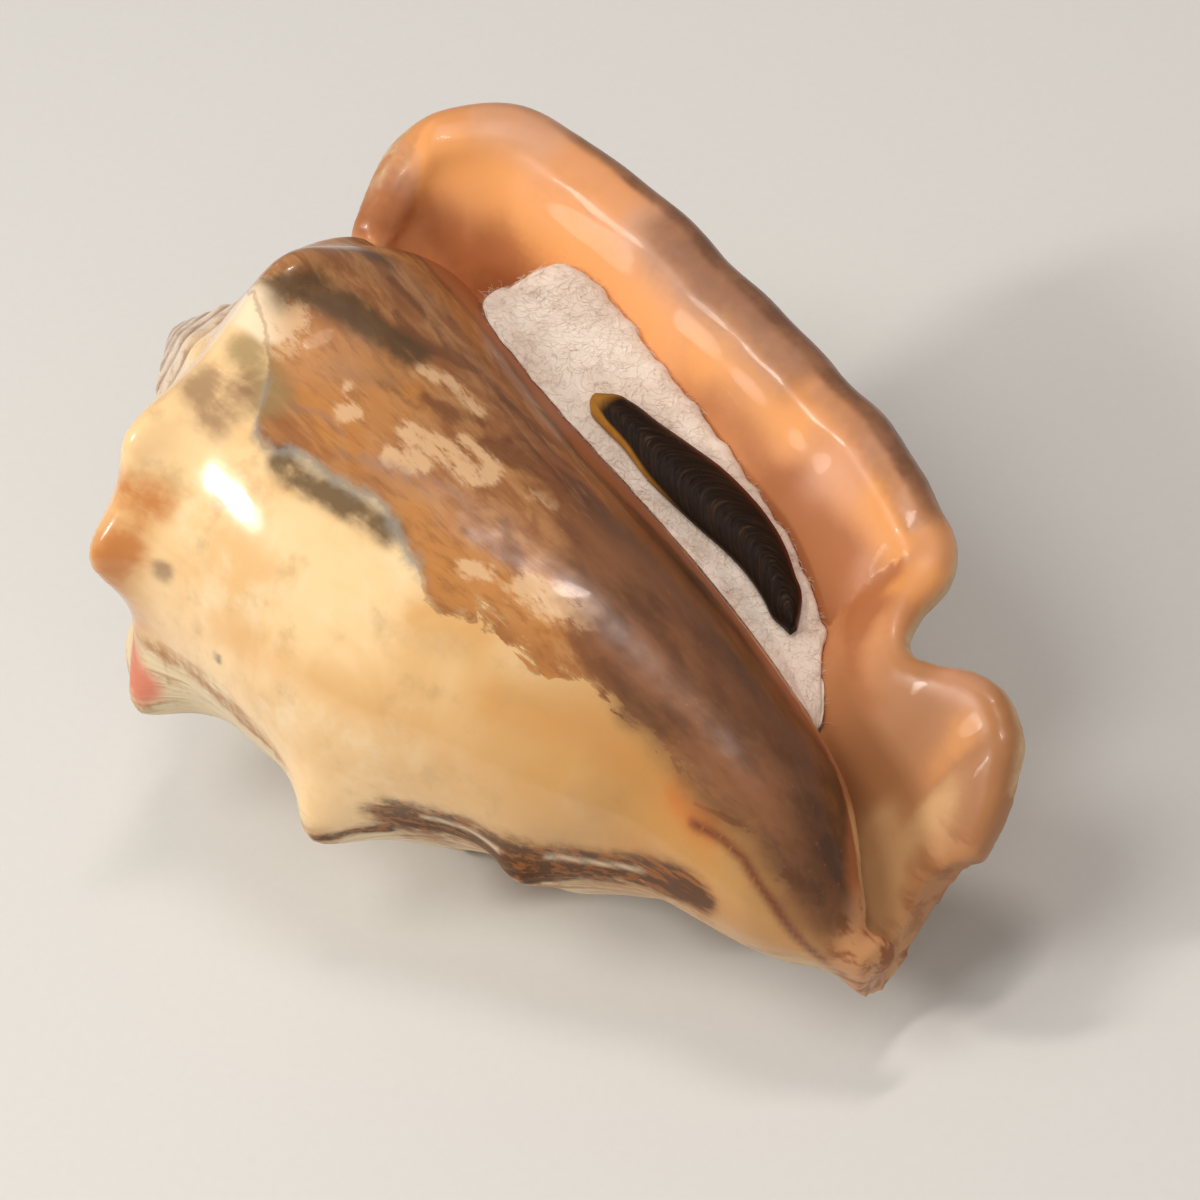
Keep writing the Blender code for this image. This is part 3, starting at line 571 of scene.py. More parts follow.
def shell_marks(points):
    """What the shell's finish needs to know of each point, as named numbers."""
    straight = bend_canal(points, back=-1.0)
    x, y, z = straight.T
    azimuth = np.arctan2(y, x)
    degrees = np.mod(-np.degrees(azimuth), 360)
    radius = np.hypot(x, y)
    skin = radius - body_radius(azimuth, z)
    side, share, out, far = nearest_on_wall(points)
    on_body = 1 - smooth(skin, 0.4, 1.4)
    ventral = (degrees > 30) & (degrees < 210)
    body = on_body * ventral
    in_aperture = np.where((out > 0) | (far < 3.6), smooth(-side, -0.5, 0.8), 0.0)
    throat = np.where(on_body > 0.5, (degrees < 34) | ((degrees > 232) & (radius < 24) & (z < 96) & (side < 0)),
                      in_aperture)
    marks = {}
    marks["vein_side"] = (keyed(z, VEIN) - degrees) * np.radians(1) * radius
    marks["dark_side"] = (keyed(z, DARK_MARGIN) - degrees) * np.radians(1) * radius
    marks["lip_side"] = (keyed(z, INNER_LIP) - degrees) * np.radians(1) * radius
    marks["glaze"] = smooth((keyed(z, GLAZE_END) - degrees) * np.radians(1) * radius, -1.5, 2.0) * body
    canal_end = (out > 0.05) * (share < 0.03) * (far < 2.6)
    upper_end = smooth(share, 0.91, 0.99) * smooth(out, 0.5, 0.8) * (far < 4.2) * (1 - body)
    marks["inside"] = np.clip(np.maximum(np.maximum(throat, canal_end), upper_end), 0, 1)
    marks["rim"] = out * np.maximum(1 - on_body, (out > 0.2) * 1.0)
    marks["share"] = share
    marks["lip_edge"] = smooth(out, 0.95, 0.99) * smooth(side, -3.0, -2.1) * (far < 4.2) * (1 - body)
    marks["lip_edge"] *= smooth(share, 0.28, 0.42) * (1 - 0.65 * smooth(share, 0.74, 0.82))
    marks["low"] = smooth(62.0 - z, 0, 34)
    marks["tail"] = smooth(10.5 - z + 1.5 * np.cos(azimuth), 0.0, 2.5) * smooth(15.0 - radius, 0.0, 3.0)
    marks["mid"] = smooth(60.0 - z, 0, 14)
    marks["spire"] = smooth(z - 6 * np.cos(azimuth + 1.2), 97.5, 100.5) * (on_body > 0.3)
    marks["suture"] = suture_lines(turn_of(azimuth), z)
    for name, strokes in STROKES.items():
        marks[name] = sum(stroke(z, degrees, np.maximum(radius, 3), *s) for s in strokes) * on_body
    for name, strokes in LIP_STROKES.items():
        marks[name] = sum(lip_stroke(share, out, *s) for s in strokes)
    return marks


class Link:
    """A socket of a finish, on which arithmetic adds Math nodes."""

    def __init__(self, finish, socket):
        self.finish, self.socket = finish, socket

    def maths(self, operation, first, second):
        return self.finish.node("ShaderNodeMath", {"operation": operation}, {0: first, 1: second})

    def __add__(self, other):
        return self.maths("ADD", self, other)

    __radd__ = __add__

    def __sub__(self, other):
        return self.maths("SUBTRACT", self, other)

    def __rsub__(self, other):
        return self.maths("SUBTRACT", other, self)

    def __mul__(self, other):
        return self.maths("MULTIPLY", self, other)

    __rmul__ = __mul__

    def __abs__(self):
        return self.maths("ABSOLUTE", self, 0.0)


def add_node(tree, kind, settings, inputs):
    """A new node of the tree: its settings first, then the values or links of its sockets."""
    node = tree.nodes.new(kind)
    for name, value in (settings or {}).items():
        setattr(node, name, value)
    for key, value in (inputs or {}).items():
        if isinstance(value, bpy.types.NodeSocket):
            tree.links.new(value, node.inputs[key])
        else:
            node.inputs[key].default_value = value
    return node


class Finish:
    """A material built from nodes; the constants go on the shader's own sockets."""

    def __init__(self, name, **constants):
        self.material = bpy.data.materials.new(name)
        self.material.use_nodes = True
        self.tree = self.material.node_tree
        self.shader = self.tree.nodes["Principled BSDF"]
        for socket, value in constants.items():
            self.shader.inputs[socket.replace("_", " ")].default_value = value

    def node(self, kind, settings=None, inputs=None, output=0):
        sockets = {key: value.socket if isinstance(value, Link) else value for key, value in (inputs or {}).items()}
        return Link(self, add_node(self.tree, kind, settings, sockets).outputs[output])

    def mark(self, name, vector=False):
        return self.node("ShaderNodeAttribute", {"attribute_name": name}, output="Vector" if vector else "Fac")

    def step(self, value, low, high):
        """0 below low and 1 above high, with a soft rise between; low may be the higher one."""
        settings = {"interpolation_type": "SMOOTHSTEP"}
        return self.node("ShaderNodeMapRange", settings, {0: value, 1: low, 2: high, 3: 0.0, 4: 1.0})

    def vector(self, operation, first, second):
        return self.node("ShaderNodeVectorMath", {"operation": operation}, {0: first, 1: second})

    def stretched(self, place, scale):
        return self.vector("MULTIPLY", place, scale)

    def noise(self, place, scale, detail=3.0, roughness=0.55, distortion=0.0):
        """Noise from 0 to 1 about 0.5, with features some 1 / scale units of place across."""
        inputs = {"Vector": place, "Scale": scale, "Detail": detail, "Roughness": roughness,
                  "Distortion": distortion}
        return self.node("ShaderNodeTexNoise", {}, inputs)

    def mix(self, share, under, over):
        """Colour under, covered by over where share is 1."""
        return self.node("ShaderNodeMix", {"data_type": "RGBA", "clamp_factor": True},
                         {0: share, 6: under, 7: over}, output=2)

    def bump(self, height, distance, below=None):
        inputs = {"Height": height, "Distance": distance, "Strength": 1.0}
        if below:
            inputs["Normal"] = below
        return self.node("ShaderNodeBump", {}, inputs)

    def give(self, **links):
        for socket, link in links.items():
            self.tree.links.new(link.socket, self.shader.inputs[socket.replace("_", " ")])


def paint(red, green, blue):
    """Colour for a shader from its numbers on a screen, 0 to 255."""
    channels = [c / 255 for c in (red, green, blue)]
    return (*[c / 12.92 if c <= 0.04045 else ((c + 0.055) / 1.055)**2.4 for c in channels], 1.0)


def shell_finish():
    """Glazed, mottled callus in front, peach inside the lip, raw flamed shell on the back, worn spire."""
    f = Finish("conch_glaze", IOR=1.5, Coat_Roughness=0.06, Coat_IOR=1.5)
    place = f.mark("place", vector=True)
    glaze, low, mid, band = f.mark("glaze"), f.mark("low"), f.mark("mid"), f.mark("band")
    within, rim, along_edge = f.mark("inside"), f.mark("rim"), f.mark("share")
    warp = f.noise(place, 0.09, 3)
    fine = f.noise(place, 0.9, 4)
    streak_place = f.stretched(place, (1.0, 1.0, 0.22))
    streak = f.noise(streak_place, 0.42, 5, 0.6, 0.6)
    thin_streak = f.noise(f.stretched(place, (1.0, 1.0, 0.045)), 1.3, 3, 0.6, 0.15)
    wobble = (f.noise(place, 0.32, 3) - 0.5) * 5.0 + (fine - 0.5) * 1.2
    vein_side = f.mark("vein_side") + wobble * 0.35 + (streak - 0.5) * mid * 13.0
    dark_side = f.mark("dark_side") + wobble * (1.3 - low)

    cloudy = f.noise(place, 0.075, 4, 0.6, 0.4)
    patchy = f.noise(place, 0.16, 4, 0.6, 0.2)
    cream = f.mix(f.step(cloudy, 0.42, 0.66) * 0.55, paint(250, 213, 158), paint(224, 174, 108))
    cream = f.mix(f.step(patchy, 0.5, 0.76) * 0.5, cream, paint(252, 230, 190))
    cream = f.mix(low * 0.85, cream, f.mix(f.step(cloudy, 0.36, 0.64), paint(174, 120, 56), paint(196, 146, 78)))
    cream = f.mix(f.step(f.noise(place, 0.21, 4, 0.6), 0.52, 0.74) * 0.38, cream, paint(178, 146, 94))
    golden = f.step(f.mark("gold") * (1 + (cloudy - 0.5) * 1.6), 0.05, 1.2)
    cream = f.mix(golden * 0.8, cream, f.mix(low, paint(226, 172, 104), paint(196, 138, 74)))

    ground = f.mix(f.step(streak, 0.38, 0.62), paint(184, 130, 80), paint(152, 96, 52))
    ground = f.mix(f.step(f.mark("amber") * (1 + (streak - 0.5) * 2.0), 0.1, 1.1) * 0.7, ground, paint(200, 134, 64))
    ground = f.mix(f.step(thin_streak, 0.46, 0.70) * 0.42, ground, paint(134, 80, 40))
    uneven = 1 + (streak - 0.5) * 2.2 + (fine - 0.5) * 0.8
    ground = f.mix(f.step(f.mark("umber") * uneven, 0.2, 0.95) * 0.7, ground, paint(112, 64, 32))
    speckle = f.noise(streak_place, 0.95, 5, 0.7)
    flecks = f.mark("fleck") * (1 + (speckle - 0.5) * 4.0) + (speckle - 0.5) * 0.9
    ground = f.mix(f.step(flecks, 0.15, 0.85) * 0.85, ground, paint(226, 184, 138))
    ground = f.mix(f.mark("thread") * 0.6, ground, paint(152, 118, 104))

    front = f.mix(f.step(vein_side, -0.3, 0.5), cream, ground)
    for name, colour, strength in (("cloud", paint(152, 128, 84), 0.78), ("mauve", paint(142, 106, 76), 0.75),
                                   ("rust", paint(200, 120, 54), 0.85), ("shade", paint(84, 60, 32), 0.88)):
        share = f.step(f.mark(name) * (1 + (patchy - 0.5) * 2.0 + (streak - 0.5) * 1.2), 0.15, 0.95)
        front = f.mix(share * strength, front, colour)
    front = f.mix(f.step(f.mark("fleck"), 0.55, 0.95) * f.step(vein_side, 4.0, -1.0), front, paint(250, 226, 190))
    front = f.mix(f.step(f.mark("salmon") * (1 + (patchy - 0.5) * 1.5), 0.2, 0.9), front, paint(228, 142, 112))
    heavy = f.mark("vein")
    thin_vein = f.step(abs(vein_side + (fine - 0.5) * 0.8), 0.4, 0.05) * 0.4
    front = f.mix(thin_vein, front, paint(128, 90, 62))
    blue = f.step(abs(vein_side + (fine - 0.5) * 1.6 + 0.2), 1.25, 0.1) * heavy
    front = f.mix(blue * 0.62, front, paint(152, 148, 138))

    edge = f.mark("lip_side") + wobble * 0.3
    deep = f.mix(f.step(f.noise(streak_place, 0.3, 4, 0.6), 0.4, 0.62), paint(100, 58, 32), paint(72, 42, 22))
    pale = f.mix(f.step(f.noise(streak_place, 0.2, 4, 0.6), 0.42, 0.64), paint(136, 88, 56), paint(98, 60, 36))
    upper = f.mix(f.step(streak, 0.40, 0.60), paint(134, 78, 36), paint(98, 52, 22))
    upper = f.mix(f.step(thin_streak, 0.52, 0.66) * 0.5, upper, paint(172, 126, 80))
    dark = f.mix(f.step(edge, -12.5, -4.5), pale, deep)
    dark = f.mix(mid, upper, dark)
    scuffs = f.step(f.noise(f.stretched(place, (1.0, 1.0, 0.5)), 1.5, 5, 0.75), 0.62, 0.75)
    dark = f.mix(scuffs * 0.3 * mid, dark, paint(190, 164, 140))
    front = f.mix(f.step(dark_side, -1.6, 3.4) * 0.92, front, dark)
    front = f.mix(f.mark("edge") * 0.9, front, paint(112, 54, 34))
    front = f.mix(f.step(edge, -2.4, -0.4) * 0.85, front, paint(168, 98, 54))
    front = f.mix(f.mark("pit"), front, paint(54, 36, 24))

    flat = f.stretched(place, (1.0, 1.0, 0.0))
    around = f.node("ShaderNodeVectorMath", {"operation": "NORMALIZE"}, {0: flat})
    growth_place = f.stretched(around, (26.0, 26.0, 0.0))
    growth_place = f.vector("ADD", growth_place, f.stretched(place, (0.0, 0.0, 0.12)))
    growth = f.noise(growth_place, 0.9, 4, 0.65, 0.2)
    flames = f.noise(growth_place, 0.17, 4, 0.6, 1.2)
    bands = f.noise(f.stretched(place, (0.25, 0.25, 1.0)), 0.22, 3, 0.6, 0.8)
    flamed = f.step(flames + (bands - 0.5) * 0.5 + (fine - 0.5) * 0.3, 0.42, 0.66)
    back = f.mix(flamed, paint(234, 212, 172), paint(184, 126, 74))
    back = f.mix(f.step(growth, 0.50, 0.68) * 0.45, back, paint(146, 92, 52))
    back = f.mix(f.step(f.noise(place, 0.3, 4, 0.7), 0.58, 0.72) * 0.7, back, paint(240, 226, 194))
    back = f.mix(f.step(f.mark("salmon") * (1 + (patchy - 0.5) * 1.5), 0.2, 0.9), back, paint(222, 132, 104))
    back = f.mix(f.step(low, 0.75, 1.0) * 0.6, back, paint(196, 150, 100))
    outside = f.mix(glaze, back, front)
    umber_band = f.mix(f.step(thin_streak, 0.45, 0.6), paint(70, 30, 4), paint(140, 78, 26))
    outside = f.mix(f.step(band * uneven, 0.15, 0.9) * 0.9, outside, umber_band)
    outside = f.mix(f.mark("line") * 0.8, outside, paint(232, 208, 176))

    soft = (patchy - 0.5) * 0.9 + (warp - 0.5) * 0.6
    inside = f.mix(f.step(cloudy, 0.42, 0.62), paint(228, 158, 106), paint(216, 146, 92))
    inside = f.mix(f.step(along_edge, 0.27, 0.17) * 0.8, inside, paint(170, 118, 76))
    # Darker deep in the aperture, towards the throat: painted shade.
    inside = f.mix(f.step(rim, 0.34, 0.0) * f.step(along_edge, 0.1, 0.25) * 0.55, inside, paint(172, 104, 60))
    # Of these strokes, the deep ones paint shade in the throat, the light ones low in the canal paint light where the
    # canal lies in shade, and the lilac ones on the rim's crest are lilac tone with a painted highlight.
    for name, colour, strength in (("painted_canal_light", paint(240, 196, 140), 0.85), ("deep", paint(164, 94, 50), 0.8),
                                   ("glow", paint(244, 168, 94), 0.75), ("pink", paint(232, 172, 138), 0.6),
                                   ("lilac_and_painted_highlight", paint(206, 166, 144), 0.55), ("burnt", paint(124, 78, 52), 0.75)):
        share = f.step(f.mark(name) * (1 + soft * 1.4), 0.02, 1.15)
        inside = f.mix(share * strength, inside, colour)
    inside = f.mix(f.step(along_edge, 0.24, 0.16) * 0.3, inside, paint(150, 96, 58))
    colour = f.mix(within, outside, inside)
    outer = f.step(f.mark("lip_edge") * (1 + soft), 0.15, 0.85)
    colour = f.mix(outer * 0.85, colour, f.mix(f.step(patchy, 0.4, 0.6), paint(148, 100, 70), paint(116, 76, 50)))
    grain = f.noise(f.stretched(place, (1.0, 1.0, 0.3)), 0.5, 3, 0.6)
    horn = f.mix(f.step(grain, 0.45, 0.62), paint(204, 146, 98), paint(150, 88, 48))
    colour = f.mix(f.mark("tail") * (1 - within * 0.6) * 0.9, colour, horn)

    chalk = f.mix(f.step(f.noise(place, 0.45, 5, 0.65), 0.46, 0.68), paint(228, 208, 182), paint(186, 142, 104))
    chalk = f.mix(f.mark("suture") * 0.75, chalk, paint(128, 82, 52))
    colour = f.mix(f.mark("spire"), colour, chalk)

    raw = (1 - glaze) * (1 - within)
    relief = f.bump(growth * raw * f.step(rim, 1.0, 0.8) * f.step(low, 1.0, 0.8) + thin_streak * 0.03, 0.0003)
    relief = f.bump(f.noise(place, 0.12, 2), 0.00018, below=relief)
    satin = within * (1 - f.step(rim, 0.90, 0.98) * 0.75)
    shy = f.step(edge, -3.2, -1.4) * (1 - within) * glaze
    darkened = f.step(dark_side, -6.0, 0.0)
    dull = f.mark("dull")
    roughness = 0.2 + raw * 0.22 + scuffs * 0.12 + darkened * 0.08 + f.mark("spire") * 0.15 + satin * 0.26
    roughness = roughness + (shy + dull + band) * 0.3
    coat = (1 - raw) * 0.5 * (1 - satin) * (1 - shy) * (1 - dull) * (1 - darkened * 0.7) + 0.05
    coat = coat * (1 - within * f.step(patchy, 0.42, 0.64) * 0.5) * f.step(band, 0.7, 0.1)
    f.give(Base_Color=colour, Roughness=roughness, Coat_Weight=coat, Normal=relief)
    return f.material


def capped_faces(rows, count):
    """Faces of a tube of rows rings of count points each, with both ends closed."""
    faces = grid_faces(rows, count, wrap_columns=True)
    return faces + [list(range(count)), list(range((rows - 1) * count, rows * count))]


def inner_tree():
    """Tree of the wall's inside, for finding where a line meets it."""
    inside = wall_ring(*MEASURING_GRID)[1]
    return BVHTree.FromPolygons(inside.reshape(-1, 3).tolist(), grid_faces(*inside.shape[:2]))


def aperture_sides(tree, y, z):
    """x of the columella's skin and of the wall's inside on the lines through (y, z) along x."""
    near = np.full(len(y), 20.0)
    for _ in range(6):
        radius = body_radius(np.arctan2(y, near), z)
        near = np.sqrt(np.maximum(radius**2 - y**2, 1.0))
    far = np.zeros(len(y))
    for i in range(len(y)):
        hit = tree.ray_cast(Vector((near[i], y[i], z[i])), Vector((1.0, 0.0, 0.0)))[0]
        far[i] = hit.x if hit else near[i] + 2.0
    return near, far


def wool_wad(tree):
    """Wad of wool: a crowned front, sides along the walls, and a hidden back."""
    rows, columns, sides = 110, 46, 8
    z = WOOL_LOW + (WOOL_HIGH - WOOL_LOW) * np.linspace(0, 1, rows)
    end = np.minimum(z - WOOL_LOW, (WOOL_HIGH - z)) / 4.0
    fullness = np.sqrt(1 - (1 - np.minimum(end + 0.02, 1.0))**2)[:, None]
    front = keyed(z, WOOL_FRONT)[:, None] + 2.2 * (1 - fullness)
    depth = WOOL_DEPTH * fullness * smooth(z, 20.0, 55.0)[:, None]
    across = [(u, 0.0) for u in np.linspace(0, 1, columns)]
    across += [(1.0, v) for v in np.linspace(0, 1, sides)[1:-1]]
    across += [(u, 1.0) for u in np.linspace(1, 0, columns)]
    across += [(0.0, v) for v in np.linspace(1, 0, sides)[1:-1]]
    u, v = np.array(across).T[:, None, :]
    crown = np.where(u > 0.5, 0.9 * abs(2 * u - 1)**6, -WOOL_RISE * (1 - smooth(u, 0.0, 0.22)))
    ragged = 0.16 * np.sin(z * 1.1) + 0.1 * np.sin(z * 2.3 + 1.0)
    y = front + depth * v + (1 - 2 * v) * (crown + ragged[:, None] * abs(2 * u - 1)**4)
    height = z[:, None] + 0 * y
    near, far = (s.reshape(y.shape) for s in aperture_sides(tree, y.ravel(), height.ravel()))
    near, far = near + WOOL_GAP, far - WOOL_GAP
    x = (near + far) / 2 + (u - 0.5) * (far - near) * (0.3 + 0.7 * fullness)
    points = np.stack([x, y, height], -1)
    count = len(across)
    faces = capped_faces(rows, count)
    return make_piece("wool_wad", points.reshape(-1, 3), faces)


def wool_finish():
    f = Finish("cotton_wool", Roughness=1.0, Specular_IOR_Level=0.1, Sheen_Weight=0.2, Sheen_Roughness=0.6)
    place = f.mark("place", vector=True)
    soft = f.noise(place, 0.16, 3)
    lint = f.noise(place, 1.4, 5, 0.75, 1.5)
    colour = f.mix(f.step(soft, 0.4, 0.65), paint(250, 236, 222), paint(236, 218, 202))
    # Mauve-grey mottling over the white: painted shade on the wool's surface.
    colour = f.mix(f.step(f.noise(place, 0.7, 4, 0.7), 0.60, 0.78) * 0.35, colour, paint(206, 168, 164))
    relief = f.bump(lint, 0.00008)
    relief = f.bump(soft, 0.0004, below=relief)
    f.give(Base_Color=colour, Normal=relief)
    return f.material


def strewn_fibres(wad, material):
    """Fine curled fibres that Geometry Nodes strew over the front of the wool, as one plain mesh."""
    tree = bpy.data.node_groups.new("strewn_fibres", "GeometryNodeTree")
    tree.interface.new_socket("Geometry", in_out="INPUT", socket_type="NodeSocketGeometry")
    sizes = {"Density": FIBRES_PER_MM2 / MM**2, "Length": FIBRE_LENGTH * MM, "Thickness": FIBRE_THICK * MM}
    sockets = {name: tree.interface.new_socket(name, in_out="INPUT", socket_type="NodeSocketFloat").identifier
               for name in sizes}
    tree.interface.new_socket("Geometry", in_out="OUTPUT", socket_type="NodeSocketGeometry")

    def node(kind, settings=None, inputs=None):
        return add_node(tree, kind, settings, inputs)

    given = node("NodeGroupInput")
    facing = node("ShaderNodeSeparateXYZ", {}, {0: node("GeometryNodeInputNormal").outputs[0]})
    ventral = node("FunctionNodeCompare", {"operation": "LESS_THAN"}, {0: facing.outputs["Y"], 1: -0.3})
    roots = node("GeometryNodeDistributePointsOnFaces", {},
                 {"Mesh": given.outputs["Geometry"], "Selection": ventral.outputs[0],
                  "Density": given.outputs["Density"], "Seed": 7})
    bow = node("GeometryNodeCurveQuadraticBezier", {},
               {"Resolution": 4, "Start": (0, 0, 0), "Middle": (0.5, 0.4, 0.04), "End": (1.0, 0.0, 0.02)})
    long = node("GeometryNodeTransform", {}, {"Geometry": bow.outputs[0]})
    scale = node("ShaderNodeCombineXYZ", {}, {i: given.outputs["Length"] for i in range(3)})
    tree.links.new(scale.outputs[0], long.inputs["Scale"])
    round_wire = node("GeometryNodeCurvePrimitiveCircle", {}, {"Resolution": 3, "Radius": given.outputs["Thickness"]})
    strand = node("GeometryNodeCurveToMesh", {}, {"Curve": long.outputs[0], "Profile Curve": round_wire.outputs[0]})
    spin = node("FunctionNodeRandomValue", {"data_type": "FLOAT_VECTOR"},
                {0: (-0.05, -0.10, 0.0), 1: (0.05, 0.02, TAU), "Seed": 3})
    turned = node("FunctionNodeRotateRotation", {"rotation_space": "LOCAL"},
                  {0: roots.outputs["Rotation"], 1: spin.outputs[0]})
    strewn = node("GeometryNodeInstanceOnPoints", {},
                  {"Points": roots.outputs["Points"], "Instance": strand.outputs[0], "Rotation": turned.outputs[0]})
    plain = node("GeometryNodeRealizeInstances", {}, {0: strewn.outputs[0]})
    dressed = node("GeometryNodeSetMaterial", {}, {"Geometry": plain.outputs[0], "Material": material})
    node("NodeGroupOutput", {}, {0: dressed.outputs[0]})
    strew = wad.modifiers.new("Strewn fibres", "NODES")
    strew.node_group = tree
    for name, size in sizes.items():
        strew[sockets[name]] = size
    fibres = in_scene("wool_fibres", evaluated_mesh(wad))
    wad.modifiers.remove(strew)
    return fibres


def operculum_blade():
    """The curved horny blade: a domed outer face with growth ridges, and a flat underside."""
    rows, columns = 120, 33
    z = np.linspace(OPERCULUM[-1][0], OPERCULUM[0][0], rows)
    left = keyed(z, [(k[0], k[1]) for k in OPERCULUM[::-1]])[:, None]
    right = keyed(z, [(k[0], k[2]) for k in OPERCULUM[::-1]])[:, None]
    under = keyed(z, WOOL_FRONT)[:, None] - OPERCULUM_GAP
    u = np.linspace(0, 1, columns)[None]
    dome = OPERCULUM_THICK * (0.30 + 0.70 * np.sqrt(np.sin(np.pi * np.clip(u, 0.01, 0.99))))
    arcs = 0.05 * np.sin((z[:, None] * 1.1 + 9.0 * (u - 0.45)**2 * 4.0) * 5.0) * np.sin(np.pi * u)
    top = np.stack([left + (right - left) * u, under - dome - arcs, z[:, None] + 0 * u], -1)
    bottom = np.stack([left + (right - left) * u, under + 0 * u, z[:, None] + 0 * u], -1)[:, ::-1]
    rings = np.concatenate([top, bottom], 1)
    count = rings.shape[1]
    faces = capped_faces(rows, count)
    blade = make_piece("operculum_blade", rings.reshape(-1, 3), faces)
    across = np.concatenate([np.repeat(u, rows, 0), np.repeat(u[:, ::-1], rows, 0)], 1).ravel()
    along = np.repeat(np.linspace(0, 1, rows), count)
    return blade, {"across": across, "along": along}


def horn_finish():
    f = Finish("horn_operculum", IOR=1.54, Specular_IOR_Level=0.12)
    place = f.mark("place", vector=True)
    across, along = f.mark("across"), f.mark("along")
    bow = along * 30.0 + (across - 0.45) * (across - 0.45) * 14.0
    arcs = f.noise(f.node("ShaderNodeCombineXYZ", {}, {0: bow, 1: across * 0.6, 2: 0.0}), 2.6, 4, 0.6, 0.1)
    colour = f.mix(f.step(arcs, 0.44, 0.66), paint(28, 15, 7), paint(48, 30, 16))
    # Painted highlight: a greyish silky sheen down the middle of the blade, on the ridges of the growth arcs.
    painted_silk_sheen = f.step(abs(across - 0.5), 0.3, 0.05) * f.step(f.noise(place, 0.5, 3), 0.4, 0.7)
    colour = f.mix(painted_silk_sheen * f.step(arcs, 0.5, 0.7) * 0.5, colour, paint(108, 88, 64))
    edge = f.step(across + (1 - along) * 0.35, 0.22, 0.06)
    tip = f.step(along, 0.9, 0.99)
    amber = f.mix(f.noise(place, 0.8, 2), paint(150, 96, 30), paint(190, 134, 52))
    colour = f.mix(f.step(edge + tip * 0.8, 0.2, 0.9), colour, amber)
    colour = f.mix(f.step(across, 0.86, 1.0) * 0.8, colour, paint(104, 46, 28))
    relief = f.bump(arcs, 0.00012)
    f.give(Base_Color=colour, Roughness=0.3 + arcs * 0.2, Normal=relief)
    return f.material


def rest_matrix():
    """Turn from the shell's frame to the world: its aperture up, its apex towards -X."""
    up = Vector(REST_UP).normalized()
    along = Vector((0.0, 0.0, -1.0))
    along = (along - up * along.dot(up)).normalized()
    return Matrix((along, up.cross(along), up))


def laid_down(points):
    """Points of the shell's own frame, in millimetres, in the world, in metres."""
    return points @ np.array(rest_matrix()).T * MM + np.array(REST_PLACE)


def finish_piece(piece, material, node, marks=None):
    """Gives the piece its marks and material, lays it in its resting place and lets it stand for its node."""
    mesh = piece.data
    points = coordinates(mesh) / MM
    for name, values in (marks or {}).items():
        attribute = mesh.attributes.new(name, "FLOAT", "POINT")
        attribute.data.foreach_set("value", np.asarray(values, np.float32))
    attribute = mesh.attributes.new("place", "FLOAT_VECTOR", "POINT")
    attribute.data.foreach_set("vector", points.astype(np.float32).ravel())
    world = laid_down(points)
    world[:, 2] = np.maximum(world[:, 2], 0.0)
    place_points(mesh, world)
    mesh.materials.clear()
    mesh.materials.append(material)
    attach(piece, "root")
    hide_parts(node)


def pale_floor():
    mesh = bpy.data.meshes.new("floor")
    mesh.from_pydata([(-3, -3, 0), (3, -3, 0), (3, 3, 0), (-3, 3, 0)], [], [(0, 1, 2, 3)])
    floor = in_scene("floor", mesh)
    f = Finish("pale_paper", Roughness=0.9, Specular_IOR_Level=0.2)
    place = f.node("ShaderNodeTexCoord", output="Object")
    f.give(Base_Color=f.mix(f.noise(place, 900.0, 2), paint(214, 214, 212), paint(218, 218, 216)))
    mesh.materials.append(f.material)


def softbox(name, azimuth, elevation, distance, size, watts, colour=(1.0, 1.0, 1.0), mirrored=True):
    """Oval soft light, of the given width and height, that looks at the shell from a world direction in degrees."""
    light = bpy.data.lights.new(name, "AREA")
    light.shape = "ELLIPSE"
    light.size, light.size_y = size
    light.energy = watts
    light.color = colour
    lamp = in_scene(name, light)
    lamp.visible_glossy = mirrored
    a, e = np.radians(azimuth), np.radians(elevation)
    way = Vector((np.cos(e) * np.cos(a), np.cos(e) * np.sin(a), np.sin(e)))
    lamp.location = Vector((0, 0, 0.03)) + way * distance
    lamp.rotation_euler = way.to_track_quat("Z", "Y").to_euler()


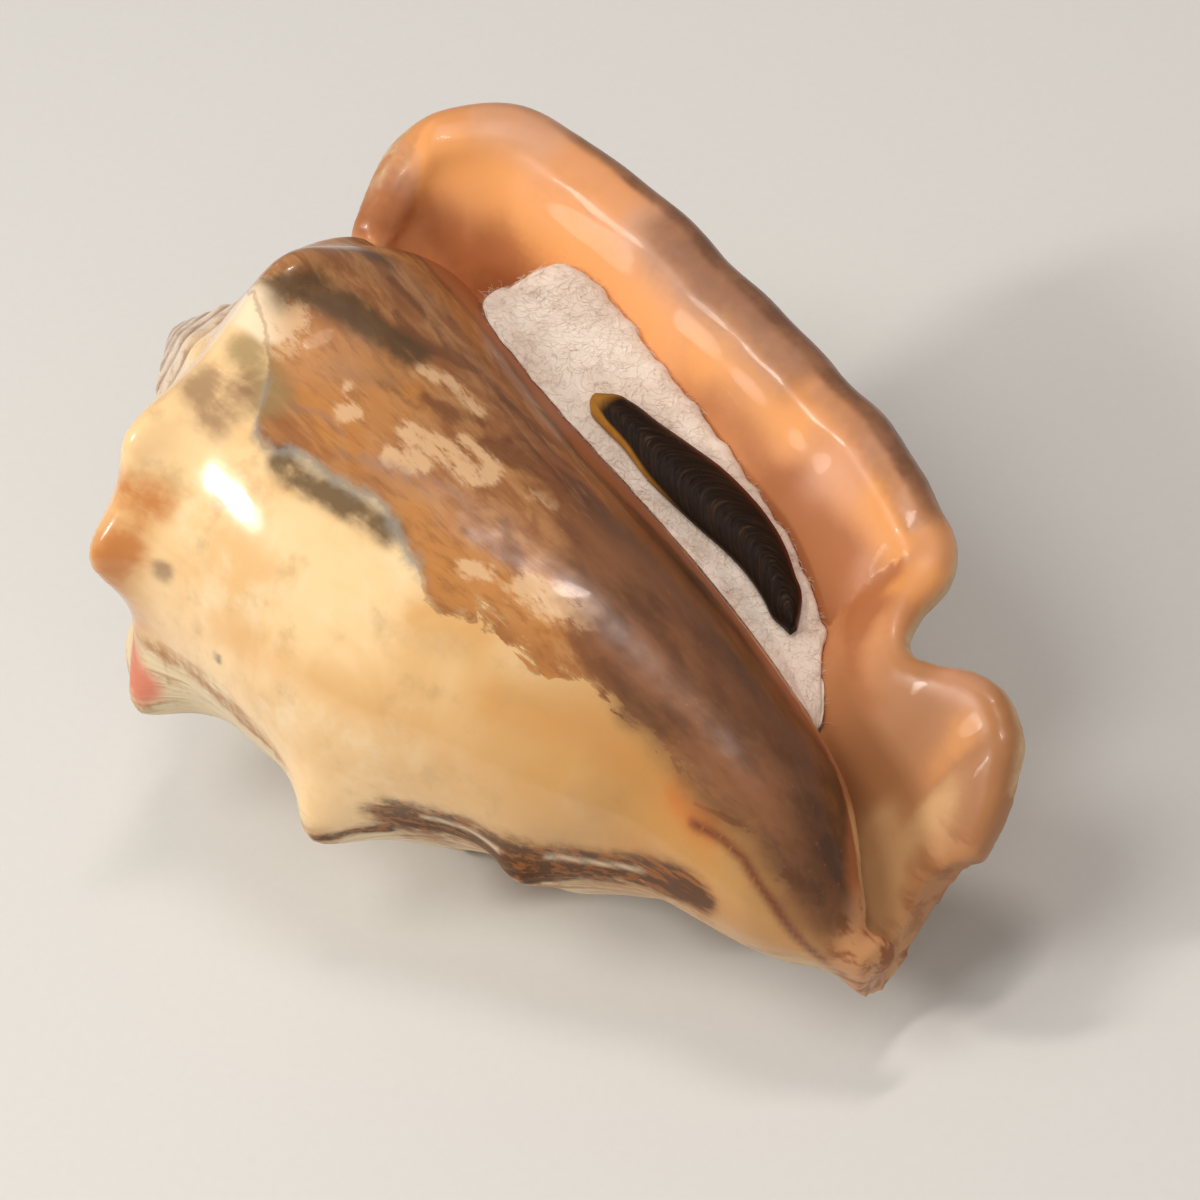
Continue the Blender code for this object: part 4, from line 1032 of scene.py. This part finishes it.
def studio():
    world = bpy.data.worlds.new("studio")
    world.use_nodes = True
    background = world.node_tree.nodes["Background"]
    background.inputs["Color"].default_value = (1.0, 0.97, 0.94, 1.0)
    background.inputs["Strength"].default_value = 0.30
    bpy.context.scene.world = world
    bpy.context.scene.view_settings.view_transform = "Standard"
    softbox("key", -119, 41, 0.6, (0.065, 0.13), 1.2, (1.0, 0.95, 0.88))
    softbox("wide key", -119, 41, 0.7, (0.4, 0.4), 0.85, (1.0, 0.95, 0.88), mirrored=False)
    softbox("high", -95, 68, 0.7, (0.3, 0.3), 1.3, (1.0, 0.95, 0.88), mirrored=False)
    softbox("front", -20, 45, 1.1, (0.6, 0.6), 1.1, (1.0, 0.96, 0.92), mirrored=False)
    softbox("sheen", 80, 78, 0.8, (0.07, 0.22), 1.35, (1.0, 0.88, 0.82))


# The camera: where it aims on the shell, seen from how far, and where the aim lies in the picture's pixels.
AIM = (5.0, -5.0, 60.0)
CAMERA_AWAY = 450.0
AIM_PIXEL = (545.0, 560.0)
PICTURE = 1200.0
LENS = 135.0
SENSOR = 36.0


def camera():
    """Camera at the photograph's viewing angle, turned a little so that it needs no shift."""
    side, raised, roll = (np.radians(d) for d in (27.0, 33.6, 40.0))
    away = np.array([-np.sin(side) * np.cos(raised), -np.cos(side) * np.cos(raised), -np.sin(raised)])
    lateral = np.array([np.cos(side), -np.sin(side), 0.0])
    axial = np.cross(away, lateral)
    axial = axial * np.sign(axial[2])
    right = -np.cos(roll) * axial + np.sin(roll) * lateral
    up = np.sin(roll) * axial + np.cos(roll) * lateral
    pixels = LENS / SENSOR * PICTURE
    back = unit(away + right * (AIM_PIXEL[0] - PICTURE / 2) / pixels + up * (PICTURE / 2 - AIM_PIXEL[1]) / pixels)
    right = unit(right - back * (right @ back))
    up = np.cross(back, right)
    turn = np.array(rest_matrix())
    lens = bpy.data.cameras.new("camera")
    lens.lens, lens.sensor_width = LENS, SENSOR
    lens.clip_start, lens.clip_end = 0.01, 20.0
    eye = in_scene("camera", lens)
    axes = np.stack([turn @ right, turn @ up, turn @ back], 1)
    position = laid_down(np.array(AIM) + away * CAMERA_AWAY)
    matrix = Matrix(axes.tolist()).to_4x4()
    matrix.translation = Vector(position)
    eye.matrix_world = matrix
    bpy.context.scene.camera = eye


def main():
    shell = grown_shell()
    finish_piece(shell, shell_finish(), "shell", shell_marks(coordinates(shell.data) / MM))
    wad = wool_wad(inner_tree())
    wool = wool_finish()
    fibres = strewn_fibres(wad, wool)
    finish_piece(wad, wool, "cotton_wool")
    finish_piece(fibres, wool, "cotton_wool")
    blade, marks = operculum_blade()
    finish_piece(blade, horn_finish(), "operculum", marks)
    pale_floor()
    studio()
    camera()


main()
